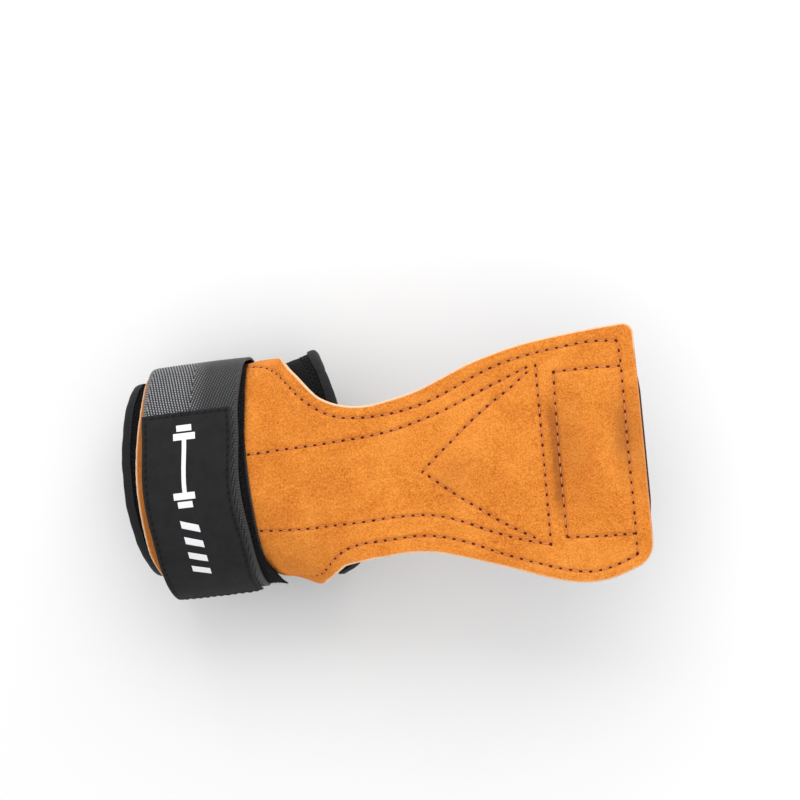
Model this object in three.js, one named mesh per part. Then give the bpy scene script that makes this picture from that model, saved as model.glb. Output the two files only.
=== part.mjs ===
// Weightlifting palm grip: a neoprene wrist cuff with a wrap-around hook-and-loop strap and a
// suede leather pad that covers the palm and folds round a bar. Millimetres, +X from the wrist
// to the fingers, +Y to the thumb side, +Z out of the palm. Origin: centre of the wrist opening.
// Angle t round the cuff: 0 = thumb side (+Y), 90 = palm (+Z), 180 = little-finger side, 270 = back.
import * as THREE from 'three';

// ---- driving dimensions -------------------------------------------------------------------
const A0 = 35;              // inner half width of the cuff opening (Y)
const B0 = 25;              // inner half height of the cuff opening (Z)
const CUFF_X0 = -30.8;      // cuff edge toward the forearm, at the sides
const CUFF_X1 = 47.3;       // cuff edge toward the hand, at the thumb side
const LINING_T = 0.9;       // soft cuff lining
const SHELL_N0 = 1.2;       // shell (neoprene) inner face, measured out from the opening
const SHELL_N1 = 4.2;       // shell outer face
const BIND_W = 5;           // edge binding width
const BIND_T = 0.7;         // edge binding thickness
const GAP = 0.3;            // clearance between neighbouring layers
const LEATHER_N0 = 5.4;     // leather inner face on the wrist
const LEATHER_N1 = 7.0;     // leather outer face on the wrist
const LEATHER_T = LEATHER_N1 - LEATHER_N0;
const LEATHER_X0 = -24;     // leather edge toward the forearm at the thumb side
const LEATHER_BOW = 4.0;    // how much farther it reaches over the palm and little-finger side
const FLAT_X0 = 21;         // the leather starts to flatten here
const FLAT_X1 = 66;         // and is flat from here on
const RISE = 3;             // how far the flat pad stands above the wrist line
const WAIST_X = 72;         // bending line at the waist
const FOLD_X = 142.4;       // bending line at the folding channel
const BASE_X0 = -20.2;      // base webbing and loop tape, sewn straight across the leather
const BASE_X1 = 19.2;
const TOP_HALF = 19.9;      // half width of the closing run over the palm
const STRAP_R = 4.3;        // how much wider than A0 the strap's loop is at the thumb side
const STRAP_U = -0.4;       // and at the little-finger side
const TAB_T = 50;           // angle of the line where the tab peels
const WEB_T = 1.3;
const CUT = 0.8;            // half gap at a ring hinge, degrees
const PAD_Z = B0 + LEATHER_N1 + RISE;   // outer face of the flat pad

const rad = (d) => d * Math.PI / 180;
const clamp01 = (v) => Math.min(1, Math.max(0, v));
const ss = (a, b, x) => { const t = clamp01((x - a) / (b - a)); return t * t * (3 - 2 * t); };
const lerpTable = (tab, x) => {
  if (x <= tab[0][0]) return tab[0][1];
  for (let i = 1; i < tab.length; i++) if (x <= tab[i][0]) {
    const [x0, y0] = tab[i - 1], [x1, y1] = tab[i];
    return y0 + (y1 - y0) * (x - x0) / (x1 - x0);
  }
  return tab[tab.length - 1][1];
};

const MAT = {
  neoprene: new THREE.MeshStandardMaterial({ name: 'neoprene', color: 0x232426, roughness: 0.9 }),
  lining: new THREE.MeshStandardMaterial({ name: 'cuff_lining', color: 0x2c2d30, roughness: 0.95 }),
  binding: new THREE.MeshStandardMaterial({ name: 'binding', color: 0x1b1c1e, roughness: 0.8 }),
  suede: new THREE.MeshStandardMaterial({ name: 'suede', color: 0xdb8436, roughness: 0.95 }),
  under: new THREE.MeshStandardMaterial({ name: 'suede_lining', color: 0x4a3038, roughness: 0.95 }),
  webbing: new THREE.MeshStandardMaterial({ name: 'webbing', color: 0x2b2c2f, roughness: 0.6 }),
  loop: new THREE.MeshStandardMaterial({ name: 'loop_tape', color: 0x1d1d1f, roughness: 1.0 }),
  hook: new THREE.MeshStandardMaterial({ name: 'hook_tape', color: 0x19191b, roughness: 0.7 }),
  label: new THREE.MeshStandardMaterial({ name: 'label', color: 0x303032, roughness: 0.7 }),
};

// ---- one closed body from a lattice of stations -----------------------------------------------
// rings: array of closed loops (same length) of [x,y,z]; first and last loop are capped with capTris.
function lattice(name, mat, rings, capTris) {
  const m = rings[0].length, k = rings.length, pos = [], idx = [];
  for (const r of rings) for (const p of r) pos.push(p[0], p[1], p[2]);
  for (let i = 0; i + 1 < k; i++) for (let j = 0; j < m; j++) {
    const a = i * m + j, b = i * m + (j + 1) % m, c = a + m, d = b + m;
    idx.push(a, b, d, a, d, c);
  }
  for (const [a, b, c] of capTris) { idx.push(a, c, b); idx.push((k - 1) * m + a, (k - 1) * m + b, (k - 1) * m + c); }
  // turn the body the right way out
  let v = 0;
  for (let i = 0; i < idx.length; i += 3) {
    const [a, b, c] = [idx[i] * 3, idx[i + 1] * 3, idx[i + 2] * 3];
    v += pos[a] * (pos[b + 1] * pos[c + 2] - pos[b + 2] * pos[c + 1])
       - pos[a + 1] * (pos[b] * pos[c + 2] - pos[b + 2] * pos[c])
       + pos[a + 2] * (pos[b] * pos[c + 1] - pos[b + 1] * pos[c]);
  }
  if (v < 0) for (let i = 0; i < idx.length; i += 3) { const t = idx[i + 1]; idx[i + 1] = idx[i + 2]; idx[i + 2] = t; }
  const g = new THREE.BufferGeometry();
  g.setAttribute('position', new THREE.Float32BufferAttribute(pos, 3));
  g.setIndex(idx);
  g.computeVertexNormals();
  const mesh = new THREE.Mesh(g, mat);
  mesh.name = name;
  return mesh;
}
// the wrist widens toward the hand: extra half width at the thumb side and at the little-finger side
const wideR = (x) => 2.4 + 1.6 * clamp01((x + 32) / 12) + 0.8 * ss(17.5, 24, x) + 3.7 * ss(31, 49, x);
const wideU = (x) => -2.7 + 2.0 * clamp01((x + 32) / 12) + 2.4 * ss(17.5, 25, x) + 3.6 * ss(25, 42, x);
const halfWidth = (x, c) => A0 + (c > 0 ? wideR(x) : wideU(x));
const ringPoint = (x, t, n) => {
  const c = Math.cos(rad(t));
  return [x, (halfWidth(x, c) + n) * c, (B0 + n) * Math.sin(rad(t))];
};
const strapPoint = (x, t, n) => {
  const c = Math.cos(rad(t));
  return [x, (A0 + (c > 0 ? STRAP_R : STRAP_U) + n) * c, (B0 + n) * Math.sin(rad(t))];
};
// the forearm edge bows out over the palm side; the hand edge reaches much farther over the palm
const edge0 = (t) => CUFF_X0 - 3.2 * Math.max(0, Math.sin(rad(t))) ** 2;
const edge1 = (t) => { const u = ((t % 360) + 360) % 360; return u > 350 ? CUFF_X1 + 12 * ss(-5, 75, u - 360) : CUFF_X1 + 12 * ss(-5, 75, u) - 10 * ss(146, 176, u) - 2 * ss(200, 300, u); };
const topC = (t) => -0.6 - 1.5 * ss(28, 62, t) - 1.7 * ss(64, 92, t) + 0.7 * ss(96, 120, t);

// profile(t) gives the cross-section polygon as [x, n] pairs; swept round the cuff from t0 to t1
function sweep(name, mat, profile, t0, t1, steps, point = ringPoint) {
  const rings = [];
  for (let i = 0; i <= steps; i++) {
    const t = t0 + (t1 - t0) * i / steps;
    rings.push(profile(t).map(([x, n]) => point(x, t, n)));
  }
  const caps = capOf(profile(t0));
  return lattice(name, mat, rings, caps);
}
// triangles of a polygon, wound the same way as the polygon itself
function capOf(poly) {
  const pts = poly.map(([x, y]) => new THREE.Vector2(x, y));
  const tris = THREE.ShapeUtils.triangulateShape(pts, []);
  const area = (a, b, c) => (b.x - a.x) * (c.y - a.y) - (b.y - a.y) * (c.x - a.x);
  const total = THREE.ShapeUtils.area(pts);
  return tris.map(([a, b, c]) => area(pts[a], pts[b], pts[c]) * total < 0 ? [a, c, b] : [a, b, c]);
}
const at = (v, t) => typeof v === 'function' ? v(t) : v;
const band = (x0, x1, n0, n1) => (t) => {
  const a = at(n0, t), b = at(n1, t), l = at(x0, t), r = at(x1, t);
  return [[l, a], [r, a], [r, b], [l, b]];
};
// the same with extra points along X, so that it can follow the widening of the wrist
const flaredBand = (n0, n1) => (t) => {
  const f0 = edge1(t) - BIND_W, m = 31;
  const xs = [edge0(t) + BIND_T + GAP, -20, 17.5, 21, 25, m, m + (f0 - m) * 0.35, m + (f0 - m) * 0.7, f0, edge1(t) - BIND_T - GAP];
  return [...xs.map((x) => [x, n0]), ...xs.slice().reverse().map((x) => [x, n1])];
};

// flat plate between z0 and z1 whose outline is two edge lists of equal length (upper y, lower y);
// start and end x may be bevelled toward the underside by the given amount
function plate(name, mat, up, lo, z0, z1, bevel0 = 0, bevel1 = 0) {
  const k = up.length, rings = [];
  for (let i = 0; i < k; i++) {
    const b = i === 0 ? bevel0 : i === k - 1 ? -bevel1 : 0;
    rings.push([[lo[i][0] + b, lo[i][1], z0], [up[i][0] + b, up[i][1], z0], [up[i][0], up[i][1], z1], [lo[i][0], lo[i][1], z1]]);
  }
  return lattice(name, mat, rings, [[0, 1, 2], [0, 2, 3]]);
}

const root = new THREE.Group();
root.name = 'hand_grip';
const add = (m) => { root.add(m); return m; };

// ---- wrist cuff: palm half, little-finger wing, thumb wing --------------------------------------
const SEG = {
  palm: [CUT, 180 - CUT, 40],
  ulnar: [180 + CUT, 266.5, 20],
  radial: [273.5, 360 - CUT, 20],
};
for (const [side, [t0, t1, st]] of Object.entries(SEG)) {
  add(sweep('cuff_shell_' + side, MAT.neoprene, flaredBand(SHELL_N0, SHELL_N1), t0, t1, st));
  add(sweep('cuff_lining_' + side, MAT.lining, flaredBand(0, LINING_T), t0, t1, st));
  const uN0 = -GAP, uN1 = SHELL_N1 + GAP;
  add(sweep('binding_forearm_' + side, MAT.binding, (t) => [
    [0, uN0 - BIND_T], [BIND_W, uN0 - BIND_T], [BIND_W, uN0], [BIND_T, uN0],
    [BIND_T, uN1], [BIND_W, uN1], [BIND_W, uN1 + BIND_T], [0, uN1 + BIND_T]].map(([x, n]) => [edge0(t) + x, n]), t0, t1, st));
  add(sweep('binding_hand_' + side, MAT.binding, (t) => [
    [BIND_W, uN0 - BIND_T], [0, uN0 - BIND_T], [0, uN1 + BIND_T], [BIND_W, uN1 + BIND_T],
    [BIND_W, uN1], [BIND_T, uN1], [BIND_T, uN0], [BIND_W, uN0]].map(([x, n]) => [edge1(t) - x, n]), t0, t1, st));
}
// bindings of the two free ends at the back of the wrist (a U along X, open toward the cuff)
function endBinding(name, tEnd, dir) {
  const w = 6.5 * dir, c = 0.9 * dir, e = 1.9 * dir;      // degrees: legs, clearance, outer end
  const n0 = -GAP, n1 = SHELL_N1 + GAP;
  const poly = [[tEnd - w, n0 - BIND_T], [tEnd + e, n0 - BIND_T], [tEnd + e, n1 + BIND_T], [tEnd - w, n1 + BIND_T],
    [tEnd - w, n1], [tEnd + c, n1], [tEnd + c, n0], [tEnd - w, n0]];
  const dense = [];
  for (let i = 0; i < poly.length; i++) {
    const p = poly[i], q = poly[(i + 1) % poly.length], s = Math.abs(q[0] - p[0]) > 3 ? 3 : 1;
    for (let j = 0; j < s; j++) dense.push([p[0] + (q[0] - p[0]) * j / s, p[1] + (q[1] - p[1]) * j / s]);
  }
  const x0 = edge0(tEnd) + BIND_W + 0.4, x1 = edge1(tEnd) - BIND_W - 0.4;
  const rings = [x0, -20, 17.5, 21, 25, 31, x1].map((x) => dense.map(([t, n]) => ringPoint(x, t, n)));
  const caps = capOf(dense);
  return lattice(name, MAT.binding, rings, caps);
}
add(endBinding('binding_end_ulnar', 266.5, 1));
add(endBinding('binding_end_radial', 273.5, -1));

// ---- leather: wrist part (wraps the palm half of the cuff, then flattens toward the waist) -----
const radialEdge = [[30, 88], [34, 84.5], [35.5, 78], [36.6, 72.3], [38.4, 65], [39.9, 60], [43.2, 51.4], [46.5, 43.8], [49.7, 38.2], [52.4, 34.9], [56.4, 31.9], [60.5, 29.9], [64.5, 28.7], [68.5, 28.1], [72, 28.1]];
const ulnarEdge = [[36, 88], [40, 87], [42.5, 82], [44.5, 74.5], [47, 69.9], [49.4, 64.6], [52, 60.4], [53.6, 57.7], [55.9, 56.2], [59.1, 55.1], [62.5, 54.2], [66.7, 53.1], [70.9, 52.7], [72, 52.8]];
const leatherPoint = (x, ph, n) => {
  const t = ss(FLAT_X0, FLAT_X1, x), s = Math.sin(rad(ph)), b = B0 + n;
  const a = halfWidth(x, s) + LEATHER_N1 + (n - LEATHER_N1) * (1 - t);
  const bow = (LEATHER_BOW * ss(-62, 4, -ph) - 1.3 * ss(38, 66, -ph)) * clamp01((-6 - x) / (-6 - LEATHER_X0));
  return [x - bow, a * s, b - b * (1 - Math.cos(rad(ph))) * (1 - t) + RISE * ss(FLAT_X0, FLAT_X1 + 3, x)];
};
{
  const xs = [];
  xs.push(LEATHER_X0, -20, -12, -2, 8, 14, 17.5);
  for (let x = FLAT_X0 - 1; x < WAIST_X - 1; x += 2.6) xs.push(x);
  xs.push(WAIST_X - GAP);
  const N = 28, rings = [];
  xs.forEach((x, i) => {
    const r = lerpTable(radialEdge, x), u = lerpTable(ulnarEdge, x), loop = [];
    const bev = i === xs.length - 1 ? 0.55 : 0;
    for (let j = 0; j <= N; j++) loop.push(leatherPoint(x, -u + (r + u) * j / N, LEATHER_N1));
    for (let j = N; j >= 0; j--) { const p = leatherPoint(x, -u + (r + u) * j / N, LEATHER_N0); p[0] -= bev; loop.push(p); }
    rings.push(loop);
  });
  const caps = [];
  for (let j = 0; j < N; j++) { const a = j, b = j + 1, c = 2 * N + 1 - j, d = 2 * N - j; caps.push([a, b, d], [a, d, c]); }
  add(lattice('leather_wrist', MAT.suede, rings, caps));
}

// ---- leather: palm part and finger part, flat --------------------------------------------------
const padUp = [[72, 23.8], [75, 24.1], [78.4, 24.6], [85.1, 25.8], [91.8, 27.4], [98.6, 29.8], [105.4, 32.4], [112.2, 35], [118.9, 37], [125.5, 38.6], [132.1, 40], [138.6, 41], [142.4, 41.4], [148.3, 42], [154.8, 42.6], [161.2, 43.1], [167.7, 43.5], [174, 43.7], [176.4, 43.4], [178.2, 42.5], [179.4, 41], [179.8, 39.2]];
const padLo = [[72, -37.7], [75, -37.4], [78.4, -37.2], [85.1, -37.4], [91.8, -38.3], [98.6, -40.1], [105.4, -42.3], [112.2, -44.7], [118.9, -47.1], [125.5, -49.6], [132.1, -52.2], [138.6, -54.4], [142.4, -55.4], [148.3, -56.5], [154.8, -56.9], [161.2, -56.3], [166.5, -55], [171.5, -53.3], [174.4, -51.9], [176.4, -49.8], [177.5, -47.6], [177.9, -45.4]];
const FOLD_I = 12;
const zO1 = PAD_Z, zO0 = PAD_Z - LEATHER_T, zM1 = zO0 - GAP, zM0 = zM1 - 1.3, zL1 = zM0 - GAP, zL0 = zL1 - 1.0;
const shift = (list, from, to, dx0, dx1) => list.slice(from, to + 1).map(([x, y], i, l) => [x + (i === 0 ? dx0 : i === l.length - 1 ? dx1 : 0), y]);
const inset = (list, d, s) => list.map(([x, y]) => [x, y - s * d]);
add(plate('leather_palm', MAT.suede, shift(padUp, 0, FOLD_I, GAP, -GAP), shift(padLo, 0, FOLD_I, GAP, -GAP), zO0, zO1, 0.55, 0.3));
{
  const up = shift(padUp, FOLD_I, padUp.length - 1, GAP, 0), lo = shift(padLo, FOLD_I, padLo.length - 1, GAP, 0);
  add(plate('leather_finger', MAT.suede, up, lo, zO0, zO1, 0.3, 0));
}
// under-layer (lining) of the pad, and the two inserts sewn between the layers
{
  const up = inset(shift(padUp, 1, FOLD_I, 1.5, -1.1), 0.5, 1), lo = inset(shift(padLo, 1, FOLD_I, 1.5, -1.1), 0.5, -1);
  add(plate('lining_palm', MAT.under, up, lo, zL0, zL1, 0, 0.3));
  const l = padUp.length - 1;
  const up2 = inset(shift(padUp, FOLD_I, l, 1.1, -0.5), 0.5, 1), lo2 = inset(shift(padLo, FOLD_I, l, 1.1, -0.5), 0.5, -1);
  add(plate('lining_finger', MAT.under, up2.slice(0, -1), lo2.slice(0, -1), zL0, zL1, 0.3, 0));
}
{ // triangular reinforcement: apex toward the wrist, base along the folding channel
  const up = [[90.6, -4.4], [102.5, 5.2], [112.6, 13.4], [124, 21], [136.3, 29.4], [140.2, 31.4]];
  const lo = [[90.6, -6.4], [102.5, -16], [112.6, -24], [124, -32], [131, -36.6], [137.9, -40]];
  add(plate('reinforcement_palm', MAT.under, up, lo, zM0, zM1));
}
{ // rectangular padded insert of the finger part
  const up = [[147, 28], [155, 27.9], [163, 27.7], [173.6, 27.1]];
  const lo = [[144.4, -37.8], [152.9, -38.6], [160.1, -39], [171.6, -39.4]];
  add(plate('insert_finger', MAT.under, up, lo, zM0, zM1));
}

// ---- strap -------------------------------------------------------------------------------------
// base webbing and loop tape sewn over the leather
add(sweep('strap_base', MAT.webbing, band(BASE_X0, BASE_X1, 7.3, 8.6), 16, 180 - CUT, 40, strapPoint));
add(sweep('loop_tape', MAT.loop, band(BASE_X0 + 2, BASE_X1 + 1, 8.9, 9.8), 20, 176, 38, strapPoint));
// continues round the back of the wrist, close to the cuff, and comes out wider at the thumb side
const nBack = (t) => 7.3 - 1.7 * ss(184, 208, t) + 2.7 * ss(322, 354, t);
const backX0 = (t) => BASE_X0 + (topC(0) - TOP_HALF - BASE_X0) * ss(200, 350, t);
const backX1 = (t) => BASE_X1 + (topC(0) + TOP_HALF - BASE_X1) * ss(200, 350, t);
add(sweep('strap_back', MAT.webbing, band(backX0, backX1, nBack, (t) => nBack(t) + WEB_T), 180 + CUT, 357.6, 56, strapPoint));
// top run over the palm: short part at the thumb side, then the tab with hook tape and label
const nTop = (t) => 8.3 + 3.0 * ss(2, 32, t);
const topX = (d, inset = 0) => (t) => topC(t) + d * (TOP_HALF - inset);
add(sweep('tab_web_root', MAT.webbing, band(topX(-1), topX(1), nTop, (t) => nTop(t) + WEB_T), 2.4, TAB_T - 1.3, 16, strapPoint));
add(sweep('tab_web_end', MAT.webbing, band(topX(-1), topX(1), 11.3, 12.6), TAB_T + 1.3, 175, 36, strapPoint));
add(sweep('hook_tape', MAT.hook, band(topX(-1, 1.5), topX(1, 1.2), 10.2, 11.0), TAB_T + 7, 173, 34, strapPoint));
add(sweep('label_patch', MAT.label, band(topX(-1, -0.1), topX(1, 2.8), 12.9, 13.7), TAB_T + 4.8, 174, 34, strapPoint));

export default root;
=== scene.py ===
"""Looks of the palm grip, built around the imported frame. Lengths are in millimetres until a mesh is made.
Row frame: +X wrist to fingers, +Y thumb side, +Z out of the palm. Angle t round the cuff: 0 thumb side,
90 palm, 180 little-finger side, 270 back of the wrist. n is the distance out from the wrist opening."""
import math

import bpy
import numpy as np
from mathutils import Matrix, Vector, kdtree


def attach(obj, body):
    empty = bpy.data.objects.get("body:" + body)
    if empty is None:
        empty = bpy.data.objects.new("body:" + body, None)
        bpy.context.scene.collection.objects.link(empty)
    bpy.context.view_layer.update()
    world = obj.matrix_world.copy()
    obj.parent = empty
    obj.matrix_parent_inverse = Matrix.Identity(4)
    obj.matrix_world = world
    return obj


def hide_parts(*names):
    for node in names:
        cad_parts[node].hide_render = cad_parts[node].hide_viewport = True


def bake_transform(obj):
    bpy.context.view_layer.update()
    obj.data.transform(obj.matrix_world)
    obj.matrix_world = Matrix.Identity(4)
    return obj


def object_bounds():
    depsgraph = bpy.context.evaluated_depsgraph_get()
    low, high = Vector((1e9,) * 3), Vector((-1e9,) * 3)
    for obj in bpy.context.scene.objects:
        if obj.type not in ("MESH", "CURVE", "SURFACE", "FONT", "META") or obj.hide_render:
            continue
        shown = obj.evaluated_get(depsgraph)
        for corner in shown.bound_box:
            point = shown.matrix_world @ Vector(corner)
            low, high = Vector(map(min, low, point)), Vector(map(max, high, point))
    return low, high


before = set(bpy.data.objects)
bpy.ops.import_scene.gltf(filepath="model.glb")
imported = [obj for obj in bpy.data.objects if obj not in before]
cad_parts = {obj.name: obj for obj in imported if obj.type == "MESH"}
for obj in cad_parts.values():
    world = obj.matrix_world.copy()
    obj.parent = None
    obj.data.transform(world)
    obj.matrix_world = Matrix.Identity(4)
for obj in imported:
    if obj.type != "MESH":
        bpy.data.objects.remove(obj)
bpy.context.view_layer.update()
MM = 0.001

# ------------------------------------------------------------------ dimensions (as in the CAD)
A0, B0 = 35.0, 25.0
CUFF_X0, CUFF_X1 = -30.8, 47.3
STRAP_R, STRAP_U, TOP_HALF, TAB_T = 4.3, -0.4, 19.9, 50.0
FLAT_X0, FLAT_X1, RISE = 21.0, 66.0, 3.0
LEATHER_X0, LEATHER_BOW, LEATHER_T, LEATHER_MID = -24.0, 4.0, 1.6, 6.2
BASE_X0, BASE_X1 = -20.2, 19.2
WAIST_X, FOLD_X = 72.0, 142.4


def ss(a, b, x):
    t = np.clip((np.asarray(x, float) - a) / (b - a), 0, 1)
    return t * t * (3 - 2 * t)


def bump(t, c, h):
    d = np.abs(np.mod(np.asarray(t, float) - c + 540, 360) - 180) / h
    return np.where(d < 1, np.cos(np.minimum(d, 1) * np.pi / 2) ** 2, 0.0)


def wide_r(x):
    return 2.4 + 1.6 * np.clip((x + 32) / 12, 0, 1) + 0.8 * ss(17.5, 24, x) + 3.7 * ss(31, 49, x)


def wide_u(x):
    return -2.7 + 2.0 * np.clip((x + 32) / 12, 0, 1) + 2.4 * ss(17.5, 25, x) + 3.6 * ss(25, 42, x)


def half_width(x, side):
    """Half width of the wrist opening: wider toward the hand, more so at the thumb side (side > 0)."""
    x = np.asarray(x, float)
    return A0 + np.where(np.asarray(side) > 0, wide_r(x), wide_u(x))


def ring(x, t, n):
    """Point on the cuff's layers: x, angle in degrees, distance out from the opening."""
    x, r, n = np.broadcast_arrays(np.asarray(x, float), np.radians(t), np.asarray(n, float))
    c = np.cos(r)
    return np.stack([x, (half_width(x, c) + n) * c, (B0 + n) * np.sin(r)], -1)


def strap_ring(x, t, n):
    """The same for the strap's own loop."""
    x, r, n = np.broadcast_arrays(np.asarray(x, float), np.radians(t), np.asarray(n, float))
    c = np.cos(r)
    return np.stack([x, (A0 + np.where(c > 0, STRAP_R, STRAP_U) + n) * c, (B0 + n) * np.sin(r)], -1)


def edge0(t):
    return CUFF_X0 - 3.2 * np.maximum(0, np.sin(np.radians(t))) ** 2


def edge1(t):
    u = np.mod(np.asarray(t, float) + 10, 360) - 10
    return CUFF_X1 + 12 * ss(-5, 75, u) - 10 * ss(146, 176, u) - 2 * ss(200, 300, u) + 0 * u


def n_back(t):
    return 7.3 - 1.7 * ss(184, 208, t) + 2.7 * ss(322, 354, t)


def n_top(t):
    return 8.3 + 3.0 * ss(2, 32, t)


def top_c(t):
    return -0.6 - 1.5 * ss(28, 62, t) - 1.7 * ss(64, 92, t) + 0.7 * ss(96, 120, t)


def hash01(i, k=1.0):
    """Repeatable scatter of whole numbers over 0 to 1."""
    return np.mod(np.sin(np.asarray(i, float) * 12.9898 * k + 4.1) * 43758.5453, 1.0)


def wobble(p, scale, seed=0.0):
    """Smooth repeatable noise, about -1 to 1, of points (…,3) in millimetres."""
    q = np.asarray(p, float) / scale
    x, y, z = q[..., 0] + seed, q[..., 1] + 1.7 * seed, q[..., 2] - 0.6 * seed
    return (
        np.sin(1.9 * x + 1.3 * np.sin(1.1 * y + 0.7) + 0.4)
        + np.sin(2.3 * y + 1.7 * np.sin(0.9 * z + 1.1 * x) + 1.9)
        + np.sin(2.1 * z - 1.2 * x + 1.5 * np.sin(1.3 * y - 0.6 * x) + 2.6)
        + 0.6 * np.sin(3.7 * x + 2.9 * y - 1.3)
        + 0.6 * np.sin(4.3 * y - 3.1 * x + 0.8 * z + 0.2)
    ) / 4.2


# ------------------------------------------------------------------ mesh making
def make_mesh(name, verts, faces, mat, attrs=None, sharp=None, flip_check=True):
    """verts (N,3) mm; faces: list of index arrays, each (k,3) or (k,4). Faces end up facing out."""
    V = np.asarray(verts, float)
    faces = [np.asarray(f, np.int64) for f in faces if len(f)]
    if flip_check:
        vol = 0.0
        for f in faces:
            a = V[f[:, 0]]
            for j in range(1, f.shape[1] - 1):
                vol += np.einsum("ij,ij->", a, np.cross(V[f[:, j]], V[f[:, j + 1]]))
        if vol < 0:
            faces = [f[:, ::-1] for f in faces]
    me = bpy.data.meshes.new(name)
    me.vertices.add(len(V))
    me.vertices.foreach_set("co", (V * MM).astype(np.float32).ravel())
    loops = np.concatenate([f.ravel() for f in faces]).astype(np.int32)
    sizes = np.concatenate([np.full(len(f), f.shape[1]) for f in faces])
    starts = np.concatenate([[0], np.cumsum(sizes)[:-1]]).astype(np.int32)
    me.loops.add(len(loops))
    me.loops.foreach_set("vertex_index", loops)
    me.polygons.add(len(sizes))
    me.polygons.foreach_set("loop_start", starts)
    me.polygons.foreach_set("use_smooth", np.ones(len(sizes), bool))
    me.update(calc_edges=True)
    me.validate()
    if sharp:
        me.set_sharp_from_angle(angle=math.radians(sharp))
    for k, v in (attrs or {}).items():
        v = np.asarray(v, np.float32)
        if v.ndim == 2:
            me.attributes.new(k, "FLOAT_VECTOR", "POINT").data.foreach_set("vector", v.ravel())
        else:
            me.attributes.new(k, "FLOAT", "POINT").data.foreach_set("value", v)
    me.materials.append(mat)
    ob = bpy.data.objects.new(name, me)
    bpy.context.scene.collection.objects.link(ob)
    return ob


def normals_of(P):
    du = np.gradient(P, axis=0)
    dv = np.gradient(P, axis=1)
    n = np.cross(du, dv)
    return n / np.maximum(np.linalg.norm(n, axis=-1, keepdims=True), 1e-9)


def slab_faces(nu, nv):
    """Quads of a closed slab: top grid, then bottom grid, joined along their borders."""
    idx = np.arange(nu * nv).reshape(nu, nv)
    o = nu * nv
    q = np.stack([idx[:-1, :-1], idx[1:, :-1], idx[1:, 1:], idx[:-1, 1:]], -1).reshape(-1, 4)
    border = np.concatenate([idx[:-1, 0], idx[-1, :-1], idx[:0:-1, -1], idx[0, :0:-1]])
    nxt = np.roll(border, -1)
    walls = np.stack([border, nxt, nxt + o, border + o], -1)
    return [q, q[:, ::-1] + o, walls[:, ::-1]]


def slab(name, P, T, mat, out, d=None, r=None, top=None, bottom=None, attrs=None, sharp=50, hmin=0.16):
    """Closed sheet of thickness T (mm) round the mid-surface P (nu,nv,3). out: a point the top faces away
    from, or a direction. d: distance to the free border (nu,nv), rounded within r. top/bottom: extra height."""
    N = normals_of(P)
    o = np.asarray(out, float)
    ref = (P - o) if o.shape == (3,) and abs(np.linalg.norm(o) - 1) > 1e-6 else np.broadcast_to(o, P.shape)
    if np.sum(N * ref) < 0:
        N = -N
    h = np.full(P.shape[:2], T / 2.0)
    if d is not None:
        rr = r or T / 2
        k = np.clip(d / rr, 0, 1)
        h = h * np.maximum(np.sqrt(np.clip(1 - (1 - k) ** 2, 0, 1)), hmin)
    tp = P + N * (h + (0 if top is None else top))[..., None]
    bt = P - N * (h + (0 if bottom is None else bottom))[..., None]
    V = np.concatenate([tp.reshape(-1, 3), bt.reshape(-1, 3)])
    nu, nv = P.shape[:2]
    at = {}
    for k, v in (attrs or {}).items():
        v = np.asarray(v, float)
        if v.shape == (nu, nv, 3):
            at[k] = np.concatenate([v.reshape(-1, 3)] * 2)
        elif v.shape == (nu, nv):
            at[k] = np.concatenate([v.ravel()] * 2)
        else:
            at[k] = v
    at["rest"] = at.get("rest", V)
    at["under"] = np.concatenate([np.zeros(nu * nv), np.ones(nu * nv)])
    return make_mesh(name, V, slab_faces(nu, nv), mat, at, sharp)


FINE = (0.0, 0.1, 0.25, 0.5, 0.85, 1.3)


def spaced(L, step, lo=True, hi=True, fine=FINE):
    """Positions 0..L, close together at a free end, about step apart between."""
    a = list(fine) if lo else [0.0]
    b = [L - f for f in reversed(fine)] if hi else [L]
    n = max(2, int(round((b[0] - a[-1]) / step)) + 1)
    return np.array(a[:-1] + list(np.linspace(a[-1], b[0], n)) + b[1:])


def tree_of(points):
    t = kdtree.KDTree(len(points))
    for i, p in enumerate(points):
        t.insert(p, i)
    t.balance()
    return t


def dist_to(points, P, far=30.0):
    if len(points) == 0:
        return np.full(P.shape[:-1], far)
    t = tree_of(points)
    flat = P.reshape(-1, 3)
    return np.array([t.find(p)[2] for p in flat]).reshape(P.shape[:-1])


def smooth_path(pts, step=0.25):
    """Catmull-Rom curve through 2-D or 3-D points, resampled at step."""
    p = np.asarray(pts, float)
    p = np.vstack([2 * p[0] - p[1], p, 2 * p[-1] - p[-2]])
    out = []
    for i in range(1, len(p) - 2):
        t = np.linspace(0, 1, 24, endpoint=False)[:, None]
        a, b, c, e = p[i - 1], p[i], p[i + 1], p[i + 2]
        out.append(0.5 * (2 * b + (c - a) * t + (2 * a - 5 * b + 4 * c - e) * t**2 + (3 * b - a - 3 * c + e) * t**3))
    out.append(p[-2][None])
    return resample(np.vstack(out), step)


def resample(p, step=None, count=None):
    s = np.concatenate([[0], np.cumsum(np.linalg.norm(np.diff(p, axis=0), axis=1))])
    n = count or max(2, int(round(s[-1] / step)) + 1)
    q = np.linspace(0, s[-1], n)
    return np.stack([np.interp(q, s, p[:, k]) for k in range(p.shape[1])], -1)


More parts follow.
